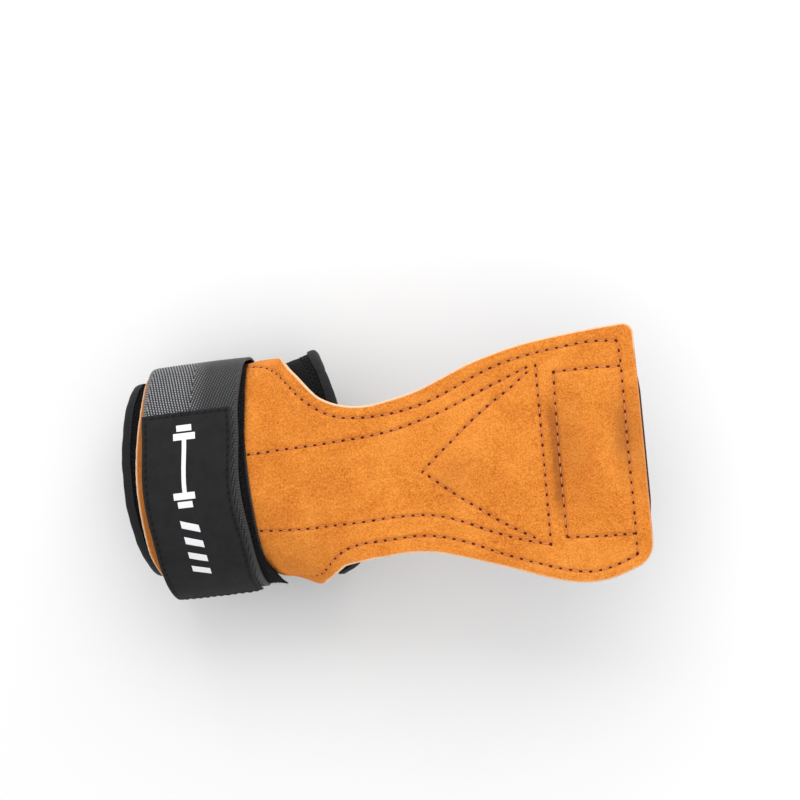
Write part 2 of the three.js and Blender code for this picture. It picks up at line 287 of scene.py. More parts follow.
def tubes(name, paths, radius, mat, sides=7, normals=None, flat=1.0, attrs_len=True):
    """Closed tubes along paths (each (k,3), mm), all in one mesh. radius: number or function of 0..1."""
    V, Q, T3, tw = [], [], [], []
    base = 0
    for path in paths:
        p = np.asarray(path, float)
        k = len(p)
        tan = np.gradient(p, axis=0)
        tan /= np.maximum(np.linalg.norm(tan, axis=1, keepdims=True), 1e-9)
        ref = np.array([0.13, 0.31, 0.94]) if normals is None else None
        u = np.cross(tan, ref)
        u /= np.maximum(np.linalg.norm(u, axis=1, keepdims=True), 1e-9)
        w = np.cross(u, tan)
        f = np.linspace(0, 1, k)
        r = radius(f) if callable(radius) else np.full(k, radius)
        a = np.linspace(0, 2 * np.pi, sides, endpoint=False)
        rings = p[:, None] + r[:, None, None] * (np.cos(a)[None, :, None] * u[:, None] + flat * np.sin(a)[None, :, None] * w[:, None])
        V.append(rings.reshape(-1, 3))
        s = np.concatenate([[0], np.cumsum(np.linalg.norm(np.diff(p, axis=0), axis=1))])
        tw.append(np.stack(np.broadcast_arrays(s[:, None], a[None, :], 0.0), -1).reshape(-1, 3))
        i = base + np.arange(k * sides).reshape(k, sides)
        j = np.roll(i, -1, axis=1)
        Q.append(np.stack([i[:-1], j[:-1], j[1:], i[1:]], -1).reshape(-1, 4))
        V.append(p[[0, -1]])
        tw.append(np.array([[0, 0, 0], [s[-1], 0, 0]], float))
        c0, c1 = base + k * sides, base + k * sides + 1
        T3.append(np.stack([np.full(sides, c0), j[0], i[0]], -1))
        T3.append(np.stack([np.full(sides, c1), i[-1], j[-1]], -1))
        base += k * sides + 2
    V = np.vstack(V)
    return make_mesh(name, V, [np.vstack(Q), np.vstack(T3)], mat, {"rest": V, "along": np.vstack(tw)})


# ------------------------------------------------------------------ materials
def new_mat(name, rough=0.8, color=(0.5, 0.5, 0.5)):
    m = bpy.data.materials.new(name)
    m.use_nodes = True
    nt = m.node_tree
    bsdf = nt.nodes["Principled BSDF"]
    bsdf.inputs["Roughness"].default_value = rough
    bsdf.inputs["Base Color"].default_value = (*color, 1)
    return m, nt, bsdf


class G:
    """Small helper that adds nodes to a material's tree."""

    def __init__(self, nt):
        self.nt = nt

    def n(self, kind, **kw):
        node = self.nt.nodes.new(kind)
        for k, v in kw.items():
            setattr(node, k, v)
        return node

    def link(self, a, b):
        self.nt.links.new(a, b)

    def attr(self, name, out="Vector"):
        a = self.n("ShaderNodeAttribute", attribute_type="GEOMETRY", attribute_name=name)
        return a.outputs[out]

    def val(self, sock, v):
        if hasattr(v, "is_linked") or hasattr(v, "links"):
            self.link(v, sock)
        else:
            sock.default_value = v

    def noise(self, vec, scale, detail=3.0, rough=0.6, distortion=0.0, out="Fac"):
        t = self.n("ShaderNodeTexNoise")
        self.link(vec, t.inputs["Vector"])
        t.inputs["Scale"].default_value = scale
        t.inputs["Detail"].default_value = detail
        t.inputs["Roughness"].default_value = rough
        t.inputs["Distortion"].default_value = distortion
        return t.outputs[out]

    def vor(self, vec, scale, feature="F1", out="Distance", randomness=1.0):
        t = self.n("ShaderNodeTexVoronoi", feature=feature)
        self.link(vec, t.inputs["Vector"])
        t.inputs["Scale"].default_value = scale
        t.inputs["Randomness"].default_value = randomness
        return t.outputs[out]

    def wave(self, vec, scale, direction="X", distortion=0.0, profile="SIN", dscale=1.0):
        t = self.n("ShaderNodeTexWave", bands_direction=direction, wave_profile=profile)
        self.link(vec, t.inputs["Vector"])
        t.inputs["Scale"].default_value = scale
        t.inputs["Distortion"].default_value = distortion
        t.inputs["Detail Scale"].default_value = dscale
        return t.outputs["Fac"]

    def m(self, op, a, b=0.0, clamp=False):
        t = self.n("ShaderNodeMath", operation=op, use_clamp=clamp)
        self.val(t.inputs[0], a)
        self.val(t.inputs[1], b)
        return t.outputs[0]

    def ramp(self, fac, lo, hi, a=0.0, b=1.0):
        t = self.n("ShaderNodeMapRange")
        self.link(fac, t.inputs["Value"])
        for k, v in (("From Min", lo), ("From Max", hi), ("To Min", a), ("To Max", b)):
            t.inputs[k].default_value = v
        return t.outputs["Result"]

    def mix(self, fac, a, b, blend="MIX"):
        t = self.n("ShaderNodeMix", data_type="RGBA", blend_type=blend)
        self.val(t.inputs[0], fac)
        for s, v in ((t.inputs[6], a), (t.inputs[7], b)):
            if isinstance(v, (tuple, list)):
                s.default_value = (*v[:3], 1)
            else:
                self.link(v, s)
        return t.outputs[2]

    def scale_vec(self, vec, s):
        t = self.n("ShaderNodeVectorMath", operation="MULTIPLY")
        self.link(vec, t.inputs[0])
        t.inputs[1].default_value = s
        return t.outputs[0]

    def bump(self, height, dist, strength=1.0, normal=None):
        t = self.n("ShaderNodeBump")
        self.link(height, t.inputs["Height"])
        t.inputs["Distance"].default_value = dist
        t.inputs["Strength"].default_value = strength
        if normal is not None:
            self.link(normal, t.inputs["Normal"])
        return t.outputs["Normal"]


def lin(r, g, b):
    f = lambda c: c / 12.92 if c <= 0.04045 else ((c + 0.055) / 1.055) ** 2.4
    return (f(r / 255), f(g / 255), f(b / 255))


def suede_material(name, light, mid, dark, edge, sheen, sheen_tint, worn=None):
    m, nt, b = new_mat(name, 0.96, mid)
    g = G(nt)
    p = g.attr("rest")
    fibre = g.noise(p, 2.4, 3.0, 0.7)
    grain = g.noise(p, 1.25, 3.0, 0.65, 0.2)
    mott = g.noise(p, 0.22, 4.0, 0.62, 0.8)
    cloud = g.noise(p, 0.045, 3.0, 0.55, 0.5)
    nap = g.noise(g.scale_vec(p, (0.35, 1.0, 1.0)), 0.5, 3.0, 0.6, 1.2)
    f = g.m("ADD", g.m("MULTIPLY", g.ramp(fibre, 0.32, 0.68), 0.48), g.m("MULTIPLY", g.ramp(grain, 0.31, 0.69), 0.50))
    f = g.m("ADD", f, g.m("MULTIPLY", g.ramp(mott, 0.32, 0.68), 0.12))
    f = g.m("ADD", f, g.m("MULTIPLY", g.ramp(cloud, 0.35, 0.65), 0.22))
    f = g.m("ADD", f, g.m("MULTIPLY", g.ramp(nap, 0.35, 0.65), 0.10))
    c1 = g.mix(g.ramp(f, 0.25, 0.72), dark, mid)
    c2 = g.mix(g.ramp(f, 0.72, 1.15), c1, light)
    if worn is not None:
        # the wear mask and the worn colour stand for real wear and for painted shade: in the seam grooves, along the
        # folding channel and on the sliver beside the strap
        w = g.m("MULTIPLY", g.attr("wear", "Fac"), g.ramp(g.m("ADD", mott, g.m("MULTIPLY", grain, 0.5)), 0.5, 1.05, 0.55, 1.15), True)
        c2 = g.mix(w, c2, worn)
    # painted highlight: the pale edge colour is laid along the cut edge (rim), where the edge catches the light
    c3 = g.mix(g.m("MULTIPLY", g.attr("rim", "Fac"), g.ramp(grain, 0.3, 0.7, 0.65, 1.0), True), c2, edge)
    g.link(c3, b.inputs["Base Color"])
    b.inputs["Sheen Weight"].default_value = sheen
    b.inputs["Sheen Roughness"].default_value = 0.45
    b.inputs["Sheen Tint"].default_value = (*sheen_tint, 1)
    b.inputs["Specular IOR Level"].default_value = 0.08
    h = g.m("ADD", g.m("MULTIPLY", fibre, 0.6), g.m("MULTIPLY", grain, 0.8))
    nrm = g.bump(h, 0.00045, 0.8)
    nrm = g.bump(mott, 0.0006, 0.35, nrm)
    g.link(nrm, b.inputs["Normal"])
    return m


# the pale edge colour of each suede is a painted highlight along the cut edge; the dark worn colour stands for wear
# and for painted shade
SUEDE = suede_material("suede_orange", lin(255, 168, 78), lin(234, 140, 54), lin(188, 98, 32), lin(255, 224, 190),
                       0.06, (1.0, 0.72, 0.42), worn=lin(98, 50, 34))
UNDER = suede_material("suede_under", lin(82, 52, 60), lin(62, 38, 45), lin(40, 24, 30), lin(96, 66, 70),
                       0.12, (0.8, 0.6, 0.65))


def thread_material(name, c0, c1, rough=0.55):
    m, nt, b = new_mat(name, rough, c0)
    g = G(nt)
    a = g.attr("along")
    tw = g.wave(a, 0.9, "DIAGONAL", 0.3)
    n = g.noise(g.attr("rest"), 1.3, 2.0)
    g.link(g.mix(g.m("MULTIPLY", g.m("ADD", g.m("MULTIPLY", tw, 0.55), g.m("MULTIPLY", n, 0.45)), 1.0, True), c0, c1), b.inputs["Base Color"])
    b.inputs["Specular IOR Level"].default_value = 0.2
    g.link(g.bump(tw, 0.00012, 0.6), b.inputs["Normal"])
    return m


THREAD = thread_material("thread_salmon", lin(220, 122, 74), lin(252, 172, 122))
THREAD_BLACK = thread_material("thread_black", lin(12, 12, 13), lin(50, 50, 54), 0.6)


def hole_shade_material():
    # painted shade: the dark colour stands for the shade inside the needle holes
    m, nt, b = new_mat("needle_hole", 1.0, lin(74, 30, 12))
    g = G(nt)
    g.link(g.mix(g.noise(g.attr("rest"), 2.2, 2.0), lin(44, 17, 6), lin(120, 56, 24)), b.inputs["Base Color"])
    b.inputs["Specular IOR Level"].default_value = 0.0
    return m


HOLE_SHADE = hole_shade_material()


def neoprene_material(name, c0, c1, scale=1.0, sheen=0.25):
    """Knitted face of the cuff: fine courses of loops over soft foam."""
    m, nt, b = new_mat(name, 0.82, c0)
    g = G(nt)
    k = g.attr("knit")
    wales = g.wave(k, 0.52 * scale, "X", 0.6, dscale=2.0)
    courses = g.wave(k, 0.42 * scale, "Y", 0.8, dscale=2.0)
    loops = g.m("MULTIPLY", wales, courses)
    n = g.noise(g.attr("rest"), 0.35, 3.0)
    fz = g.noise(g.attr("rest"), 3.2, 3.0, 0.7)
    f = g.m("ADD", g.m("MULTIPLY", loops, 0.5), g.m("ADD", g.m("MULTIPLY", n, 0.3), g.m("MULTIPLY", fz, 0.25)))
    g.link(g.mix(g.ramp(f, 0.2, 0.8), c0, c1), b.inputs["Base Color"])
    b.inputs["Sheen Weight"].default_value = sheen
    b.inputs["Sheen Roughness"].default_value = 0.5
    b.inputs["Sheen Tint"].default_value = (0.75, 0.78, 0.85, 1)
    b.inputs["Specular IOR Level"].default_value = 0.1
    nrm = g.bump(loops, 0.0003, 0.7)
    nrm = g.bump(fz, 0.0002, 0.5, nrm)
    g.link(nrm, b.inputs["Normal"])
    return m


NEO = neoprene_material("neoprene_knit", lin(7, 7, 8), lin(34, 35, 37), sheen=0.02)
LINING = neoprene_material("cuff_lining", lin(17, 18, 20), lin(44, 45, 49), 1.4, 0.06)


def binding_material():
    m, nt, b = new_mat("edge_binding", 0.62, lin(34, 35, 38))
    g = G(nt)
    k = g.attr("knit")
    rib = g.wave(k, 0.62, "Y", 0.2)
    fz = g.noise(g.attr("rest"), 2.0, 3.0, 0.65)
    g.link(g.mix(g.ramp(g.m("ADD", g.m("MULTIPLY", rib, 0.5), g.m("MULTIPLY", fz, 0.5)), 0.2, 0.8), lin(8, 8, 9), lin(40, 41, 44)), b.inputs["Base Color"])
    b.inputs["Specular IOR Level"].default_value = 0.22
    g.link(g.bump(g.m("ADD", rib, g.m("MULTIPLY", fz, 0.5)), 0.00025, 0.6), b.inputs["Normal"])
    return m


BIND = binding_material()


RIB_A, RIB_P, BEAD_P = math.radians(16), 1.12, 1.2


def webbing_material():
    """Nylon yarns: the rib shape is in the mesh, this adds filaments, a painted highlight on the crowns and painted
    shade in the valleys.
    """
    m, nt, b = new_mat("webbing_nylon", 0.42, lin(40, 41, 44))
    g = G(nt)
    w = g.attr("weave")
    hgt = g.attr("rib", "Fac")
    fil = g.wave(w, 3.4, "DIAGONAL", 0.8)
    n = g.noise(g.attr("rest"), 0.8, 3.0)
    side = g.n("ShaderNodeSeparateXYZ")
    g.link(w, side.inputs[0])
    across, along = side.outputs[0], side.outputs[1]
    aw = g.m("ABSOLUTE", across)
    ca, sa = math.cos(RIB_A), math.sin(RIB_A)
    r = g.m("DIVIDE", g.m("ADD", g.m("MULTIPLY", aw, ca), g.m("MULTIPLY", along, sa)), RIB_P)
    q = g.m("DIVIDE", g.m("SUBTRACT", g.m("MULTIPLY", along, ca), g.m("MULTIPLY", aw, sa)), BEAD_P)
    odd = g.m("FLOORED_MODULO", g.m("FLOOR", r), 2.0)
    rib = g.m("ABSOLUTE", g.m("SINE", g.m("MULTIPLY", r, math.pi)))
    bead = g.m("ABSOLUTE", g.m("COSINE", g.m("MULTIPLY", g.m("ADD", q, g.m("MULTIPLY", odd, 0.5)), math.pi)))
    fine = g.m("MULTIPLY", rib, g.m("ADD", g.m("MULTIPLY", bead, 0.5), 0.5))
    body = g.ramp(aw, 17.9, 18.3)
    fine = g.m("ADD", g.m("MULTIPLY", fine, g.m("SUBTRACT", 1.0, body)), g.m("MULTIPLY", hgt, body))
    # painted highlight: the left half of the herringbone gets lighter crowns in the base colour than the right half,
    # standing in for the different light the two yarn directions catch
    lit = g.ramp(across, -4.0, 6.0)
    crown = g.mix(lit, lin(186, 187, 190), lin(84, 85, 88))
    # painted shade in the rib valleys, painted highlight on the crowns
    c = g.mix(g.ramp(fine, 0.50, 0.96), lin(6, 6, 7), crown)
    c = g.mix(g.m("MULTIPLY", g.ramp(n, 0.35, 0.75), 0.35), c, lin(16, 16, 18))
    g.link(c, b.inputs["Base Color"])
    b.inputs["Specular IOR Level"].default_value = 0.5
    g.link(g.ramp(hgt, 0.0, 1.0, 0.62, 0.36), b.inputs["Roughness"])
    g.link(g.bump(fil, 0.0001, 0.5), b.inputs["Normal"])
    return m


WEB = webbing_material()


def pile_material(name, c0, c1, scale):
    m, nt, b = new_mat(name, 0.95, c0)
    g = G(nt)
    p = g.attr("rest")
    v = g.vor(p, 1.1 * scale, "F1")
    n = g.noise(p, 1.6 * scale, 4.0, 0.75)
    h = g.m("ADD", g.m("MULTIPLY", v, 0.6), g.m("MULTIPLY", n, 0.8))
    g.link(g.mix(g.ramp(h, 0.35, 1.0), c0, c1), b.inputs["Base Color"])
    b.inputs["Sheen Weight"].default_value = 0.04
    b.inputs["Specular IOR Level"].default_value = 0.08
    g.link(g.bump(h, 0.0009, 0.9), b.inputs["Normal"])
    return m


LOOP = pile_material("loop_pile", lin(4, 4, 5), lin(30, 30, 32), 1.0)
HOOK = pile_material("hook_pile", lin(6, 6, 7), lin(40, 40, 43), 1.5)


def label_material():
    m, nt, b = new_mat("label_cloth", 0.74, lin(47, 47, 49))
    g = G(nt)
    w = g.attr("weave")
    a = g.wave(w, 1.25, "X", 0.15)
    c = g.wave(w, 1.25, "Y", 0.15)
    wv = g.m("ADD", g.m("MULTIPLY", a, 0.5), g.m("MULTIPLY", c, 0.5))
    n = g.noise(g.attr("rest"), 0.16, 3.0, 0.6)
    fz = g.noise(g.attr("rest"), 2.4, 3.0, 0.7)
    f = g.m("ADD", g.m("MULTIPLY", wv, 0.3), g.m("ADD", g.m("MULTIPLY", n, 0.4), g.m("MULTIPLY", fz, 0.35)))
    col = g.mix(g.ramp(f, 0.25, 0.85), lin(27, 27, 28), lin(52, 52, 54))
    col = g.mix(g.m("MULTIPLY", g.attr("rim", "Fac"), 0.6), col, lin(74, 74, 78))
    # painted shade in the stitch pits along the hem
    col = g.mix(g.attr("pit", "Fac"), col, lin(7, 7, 8))
    g.link(col, b.inputs["Base Color"])
    b.inputs["Specular IOR Level"].default_value = 0.12
    g.link(g.bump(g.m("ADD", wv, g.m("MULTIPLY", fz, 0.7)), 0.00018, 0.6), b.inputs["Normal"])
    return m


LABEL = label_material()


def print_material():
    m, nt, b = new_mat("printed_mark", 0.55, lin(238, 239, 241))
    g = G(nt)
    n = g.noise(g.attr("rest"), 1.8, 3.0, 0.7)
    g.link(g.mix(g.ramp(n, 0.35, 0.75), lin(252, 252, 253), lin(232, 233, 236)), b.inputs["Base Color"])
    g.link(g.bump(n, 0.00008, 0.5), b.inputs["Normal"])
    return m


PRINT = print_material()

# ------------------------------------------------------------------ leather pad
RADIAL = [(30, 88), (33.6, 85), (35.5, 78), (36.6, 72.3), (38.4, 65), (39.9, 60), (43.2, 51.4), (46.5, 43.8), (49.7, 38.2), (52.4, 34.9), (56.4, 31.9), (60.5, 29.9), (64.5, 28.7), (68.5, 28.1), (72, 28.1)]
ULNAR = [(36, 88), (40, 87), (42.5, 82), (44.5, 74.5), (47, 69.9), (49.4, 64.6), (52, 60.4), (53.6, 57.7), (55.9, 56.2), (59.1, 55.1), (62.5, 54.2), (66.7, 53.1), (70.9, 52.7), (72, 52.8)]
PAD_UP = [(66, 24.1), (68.5, 23.8), (71.8, 23.8), (75, 24.1), (78.4, 24.6), (85.1, 25.8), (91.8, 27.4), (98.6, 29.8), (105.4, 32.4), (112.2, 35), (118.9, 37), (125.5, 38.6),
          (132.1, 40), (138.6, 41), (148.3, 42), (154.8, 42.6), (161.2, 43.1), (167.7, 43.5), (174, 43.8), (181, 44.1)]
PAD_LO = [(66, -37.8), (70.4, -37.7), (75, -37.4), (78.4, -37.2), (85.1, -37.4), (91.8, -38.3), (98.6, -40.1), (105.4, -42.3), (112.2, -44.7), (118.9, -47.1), (125.5, -49.6),
          (132.1, -52.2), (138.6, -54.4), (143, -55.6), (148.3, -56.6), (154.8, -56.9), (161.2, -56.2), (166.5, -54.9), (171.5, -53.2), (176, -51.6), (181, -49.8)]
END_X, END_SLOPE, R_UP, R_LO = 179.1, 0.0258, 4.6, 6.5


def curve_of(table):
    p = smooth_path(table, 0.4)
    return p[:, 0], p[:, 1]


UPX, UPY = curve_of(PAD_UP)
LOX, LOY = curve_of(PAD_LO)
RX, RY = curve_of([(-40, 88), (10, 88)] + RADIAL)
UX, UY = curve_of([(-40, 88), (20, 88)] + ULNAR)


def corner(s, R):
    k = np.clip(s - (END_X - R), 0, R)
    return R - np.sqrt(np.maximum(R * R - k * k, 0))


def edge_y(s, shrink=0.0):
    """(lower, upper) edge of the pad at station s, for s from 66 on."""
    up = np.interp(s, UPX, UPY) - corner(s + shrink, R_UP) - shrink
    lo = np.interp(s, LOX, LOY) + corner(s + shrink, R_LO) + shrink
    return lo, up


def height(x, y, n):
    """Base height of the leather layer n over the wrist and pad."""
    t = ss(FLAT_X0, FLAT_X1, x)
    a, b = half_width(x, y) + 7.0 + (n - 7.0) * (1 - t), B0 + n
    c = np.sqrt(np.clip(1 - np.clip(y / a, -1, 1) ** 2, 0, 1))
    return b - b * (1 - c) * (1 - t) + RISE * ss(FLAT_X0, FLAT_X1 + 3, x)


def drape(x, y):
    """Slight unevenness of worn leather, and the turned-down rim of the finger end."""
    x, y = np.asarray(x, float), np.asarray(y, float)
    f = ss(48, 76, x)
    w = 0.45 * np.sin(x / 17.0 + 0.9) * np.cos(y / 26.0 + 0.3) + 0.3 * np.sin(x / 9.5 - y / 15.0)
    tip = -1.5 * ss(168, 181, x) - 0.7 * (np.clip(np.abs(y + 6) - 34, 0, 20) / 16) ** 2 * ss(120, 150, x)
    return f * w + tip


def section(s, n, count=260, shrink=0.0):
    """Points across the leather at station s: from the little-finger edge to the thumb edge."""
    if s < 66:
        r, u = np.interp(s, RX, RY), np.interp(s, UX, UY)
        ph = np.radians(np.linspace(-u, r, count))
        t = ss(FLAT_X0, FLAT_X1, s)
        y = (half_width(s, np.sin(ph)) + 7.0 + (n - 7.0) * (1 - t)) * np.sin(ph)
        b = B0 + n
        z = b - b * (1 - np.cos(ph)) * (1 - t) + RISE * ss(FLAT_X0, FLAT_X1 + 3, s)
        x = np.full(count, float(s))
        bow = (LEATHER_BOW * ss(-62, 4, -np.degrees(ph)) - 1.3 * ss(38, 66, -np.degrees(ph))) * np.clip((-6 - s) / (-6 - LEATHER_X0), 0, 1)
        x = x - bow
    else:
        lo, up = edge_y(s, shrink)
        y = np.linspace(lo, up, count)
        x = s + END_SLOPE * ss(140, 178, s) * y
        z = height(x, y, n)
    z = z + drape(x, y)
    return np.stack([x, y, z], -1)


def pad_grid(s0, s1, n, step, lo_free, hi_free, shrink=0.0):
    S = s0 + spaced(s1 - s0, step, lo_free, hi_free)
    widths = []
    secs = []
    for s in S:
        c = section(min(s, s1), n, shrink=shrink)
        L = np.concatenate([[0], np.cumsum(np.linalg.norm(np.diff(c, axis=0), axis=1))])
        secs.append((c, L))
        widths.append(L[-1])
    ref = spaced(max(widths), step)
    k = len(FINE)
    rows = []
    for c, L in secs:
        w = L[-1]
        mid = np.linspace(FINE[-1], w - FINE[-1], len(ref) - 2 * k + 2)
        a = np.concatenate([FINE[:-1], mid, [w - f for f in reversed(FINE[:-1])]])
        rows.append(np.stack([np.interp(a, L, c[:, j]) for j in range(3)], -1))
    return np.array(rows)


def border_points(n, s0, shrink=0.0):
    """The leather's free outline on layer n, as 3-D points."""
    out = []
    for s in np.concatenate([np.arange(s0, END_X - 8, 0.3), END_X - 8 + np.cumsum(np.full(160, 0.05))]):
        if s > END_X - shrink:
            break
        c = section(s, n, 3, shrink=shrink)
        out += [c[0], c[-1]]
    c = section(END_X - shrink - 1e-4, n, 420, shrink=shrink)
    out += list(c)
    if s0 < 0:
        out += list(section(s0, n, 420))
    return np.array(out)


# seams: lines through the stitches, (x, y) on the outer face
SEAMS = {
    "edge": [(-21, 44.6), (0, 44.7), (18, 44.9), (25, 44.4), (29, 43.2), (32, 41.5), (34.4, 39.5), (36.7, 37.3), (39, 34.8), (41.1, 32.4), (43.9, 29.6), (46.8, 27.0), (50.1, 24.6), (53.4, 22.6),
             (57.4, 20.8), (61.4, 19.8), (65.6, 19.3), (70, 19.0), (77.9, 19.1), (85.5, 20.0), (93, 21.5), (99, 23.4), (106.2, 26.1), (112, 28.6), (117.9, 31), (126.7, 33.8),
             (134.3, 35.3), (140.9, 36.3), (148.2, 37.1), (155.8, 37.8), (163.4, 38.1), (173.2, 37.2)],
    "end": [(173.3, 37.0), (173.8, 32.9), (173.9, 28.8), (173.7, 22), (173.3, 10.7), (172.8, -0.7), (172.4, -16.2), (172.2, -25), (171.9, -34.9), (171.7, -40.5), (171.3, -47.4)],
    "low": [(171.2, -47.7), (168, -49.1), (164.6, -50.3), (161.2, -51.4), (157.3, -52.2), (153.6, -52.5), (149.9, -52.3), (146.1, -51.5), (138.8, -49.5), (135.1, -48.1), (128.3, -45.6),
            (121.1, -42.7), (114.5, -39.8), (109.4, -37.4), (104.6, -35.3), (98.6, -33.2), (93, -31.7), (88, -30.9), (82.9, -30.6), (74.8, -30.9), (70.5, -31.0), (66.6, -31.1),
            (62.7, -31.3), (58.4, -32.0), (54.7, -33.2), (51.6, -34.9), (48.8, -37), (46.8, -38.8), (44.6, -40.9), (42.5, -42.4), (40, -43.2), (35, -43.3), (28, -42.6), (19, -41.2), (10, -40.9), (-21, -40.9)],
    "upper": [(-12, 9.6), (5, 9.7), (19.2, 9.7), (25.8, 9.8), (33.8, 10.1), (41.8, 10.2), (50.2, 10.4), (58.5, 10.8), (66.6, 11.1), (70.9, 11.4), (79.3, 12.4), (86, 13.8), (92.5, 15.4),
              (98.6, 17), (104.3, 18.9), (111.4, 21.6), (116.9, 23.8), (123.5, 26.3), (133, 29.7), (136.6, 31)],
    "lower": [(-12, -21.8), (5, -22), (19.1, -22.1), (26.2, -22.7), (34.5, -23), (43.2, -23.1), (52, -22.8), (60.6, -22.7), (66, -22.5), (73, -22.2), (81.2, -22.2), (90.9, -22.9),
              (98.2, -24.8), (105.7, -27.7), (110.8, -30.2), (117, -33), (123.3, -35.6), (130.5, -38.0), (137.5, -39.9)],
    "tri_a": [(90.2, -5.4), (95.1, -1.0), (102.5, 4.8), (107.3, 8.8), (112.6, 12.9), (121.4, 19), (128.1, 23), (133.5, 26.8), (136.4, 28.9)],
    "tri_b": [(92.6, -7.5), (94.2, -8.9), (98.7, -12.9), (104.9, -17.9), (111.3, -22.7), (116.6, -26.8), (122.4, -30.8), (128.3, -34.6), (131.5, -36.5)],
    "cross": [(140.3, 31.3), (139.9, 18.9), (139.5, 5.9), (139.1, -5.9), (138.4, -21.8), (137.9, -35.2), (137.7, -40)],
    "rect_t": [(173.0, 27.1), (170, 27.2), (162.5, 27.7), (154.6, 27.9), (147.2, 28.0)],
    "rect_l": [(147.1, 27.6), (146.3, 14.7), (145.6, -0.1), (145, -15), (144.7, -26.4), (144.4, -37.6)],
    "rect_b": [(144.9, -37.9), (152.9, -38.6), (160.1, -39), (171.0, -39.4)],
}
N_OUT = 7.0
PITCH = 4.0


def on_leather(xy, n=N_OUT):
    x, y = xy[:, 0], xy[:, 1]
    z = height(x, y, n) + drape(x, y)
    return np.stack([x, y, z], -1)


def surf_normal(p):
    """Normal of the leather's outer face at points p (k,3)."""
    e = 0.4
    x, y = p[:, 0], p[:, 1]
    f = lambda xx, yy: height(xx, yy, N_OUT) + drape(xx, yy)
    lim = np.where(x < FLAT_X1, half_width(x, y) + 6.9, 99.0)
    y1, y0 = np.clip(y + e, -lim, lim), np.clip(y - e, -lim, lim)
    gx = (f(x + e, y) - f(x - e, y)) / (2 * e)
    gy = (f(x, y1) - f(x, y0)) / np.maximum(y1 - y0, 1e-6)
    n = np.stack([-gx, -gy, np.ones(len(p))], -1)
    return n / np.linalg.norm(n, axis=1, keepdims=True)


SEAM_LINES, SEAM_HOLES = {}, {}
for key, pts in SEAMS.items():
    line3 = on_leather(smooth_path(pts, 0.25))
    line3 = resample(line3, 0.25)
    SEAM_LINES[key] = line3
    L = np.sum(np.linalg.norm(np.diff(line3, axis=0), axis=1))
    SEAM_HOLES[key] = resample(line3, count=max(2, int(round(L / PITCH)) + 1))
ALL_LINE = np.vstack(list(SEAM_LINES.values()))
ALL_HOLE = np.vstack(list(SEAM_HOLES.values()))


def seam_relief(ds, dh):
    """Height of the outer face near a seam (distance ds) and a needle hole (distance dh)."""
    groove = -0.34 * np.exp(-(ds / 0.62) ** 2)
    swell = 0.15 * np.exp(-(((ds - 1.9) / 1.0) ** 2))
    hole = -0.34 * np.exp(-(dh / 0.62) ** 2)
    pucker = -0.10 * np.exp(-(dh / 1.5) ** 2)
    return groove + swell + hole + pucker


def in_poly(x, y, poly):
    inside = np.zeros(np.shape(x), bool)
    for (x0, y0), (x1, y1) in zip(poly, poly[1:] + poly[:1]):
        hit = (y0 > y) != (y1 > y)
        with np.errstate(divide="ignore", invalid="ignore"):
            xc = (x1 - x0) * (y - y0) / (y1 - y0 if y1 != y0 else 1e-9) + x0
        inside ^= hit & (x < xc)
    return inside


RECT = [(147.1, 27.8), (173.8, 27.1), (171.6, -39.4), (144.4, -37.8)]
TRI = [(90.2, -5.4), (112.6, 12.9), (136.5, 29), (140.2, 31.2), (137.7, -40), (131, -36.6), (111.3, -22.7)]


def leather_relief(P, d, ds, dh):
    x, y = P[..., 0], P[..., 1]
    r = seam_relief(ds, dh)
    puff = 1 - np.exp(-(ds / 2.6) ** 1.5)
    r = r + 0.60 * puff * in_poly(x, y, RECT)
    r = r + 0.30 * puff * in_poly(x, y, TRI)
    # the folding channel sinks between its two seams
    mid = (x - (142.4 + 0.0245 * (y + 5))) / 2.0
    r = r - 0.35 * np.exp(-(mid**2)) * ss(38, 20, np.abs(y + 4))
    r = r + 0.10 * wobble(P, 2.6) + 0.16 * wobble(P, 7.5, 3.1)
    return r * np.clip(d / 1.2, 0, 1)


def wear_mask(P, ds):
    x, y = P[..., 0], P[..., 1]
    # dark band along the insert's left seam in the folding channel: partly wear, partly painted shade of the insert's
    # raised edge
    w = 0.50 * np.exp(-(((x - (143.9 + 0.03 * y)) / 2.2) ** 2)) * ss(-36, -20, y) * ss(24, 8, y)
    w = w + 0.50 * np.exp(-(((x - 171.5) / 4.2) ** 2) - (((y - 0.0) / 15.0) ** 2))
    w = w + 0.22 * np.exp(-(((x - 150) / 7.0) ** 2) - (((y + 2) / 22.0) ** 2))
    w = w + 0.16 * np.exp(-(((x - 104) / 9.0) ** 2) - (((y + 8) / 9.0) ** 2))
    # darker along the middle of the finger end
    w = w + 0.20 * np.exp(-((x - 177.5) / 3.2) ** 2) * ss(30, 10, np.abs(y + 4))
    # painted shade in the seam grooves, and painted shade on the wrist-end sliver of leather beside the strap
    w = w + 0.16 * np.exp(-(ds / 0.8) ** 2) + 0.45 * ss(-15, -21, x)
    return np.clip(w, 0, 1)


SPLIT = 108.0
BORDER = border_points(LEATHER_MID, LEATHER_X0)


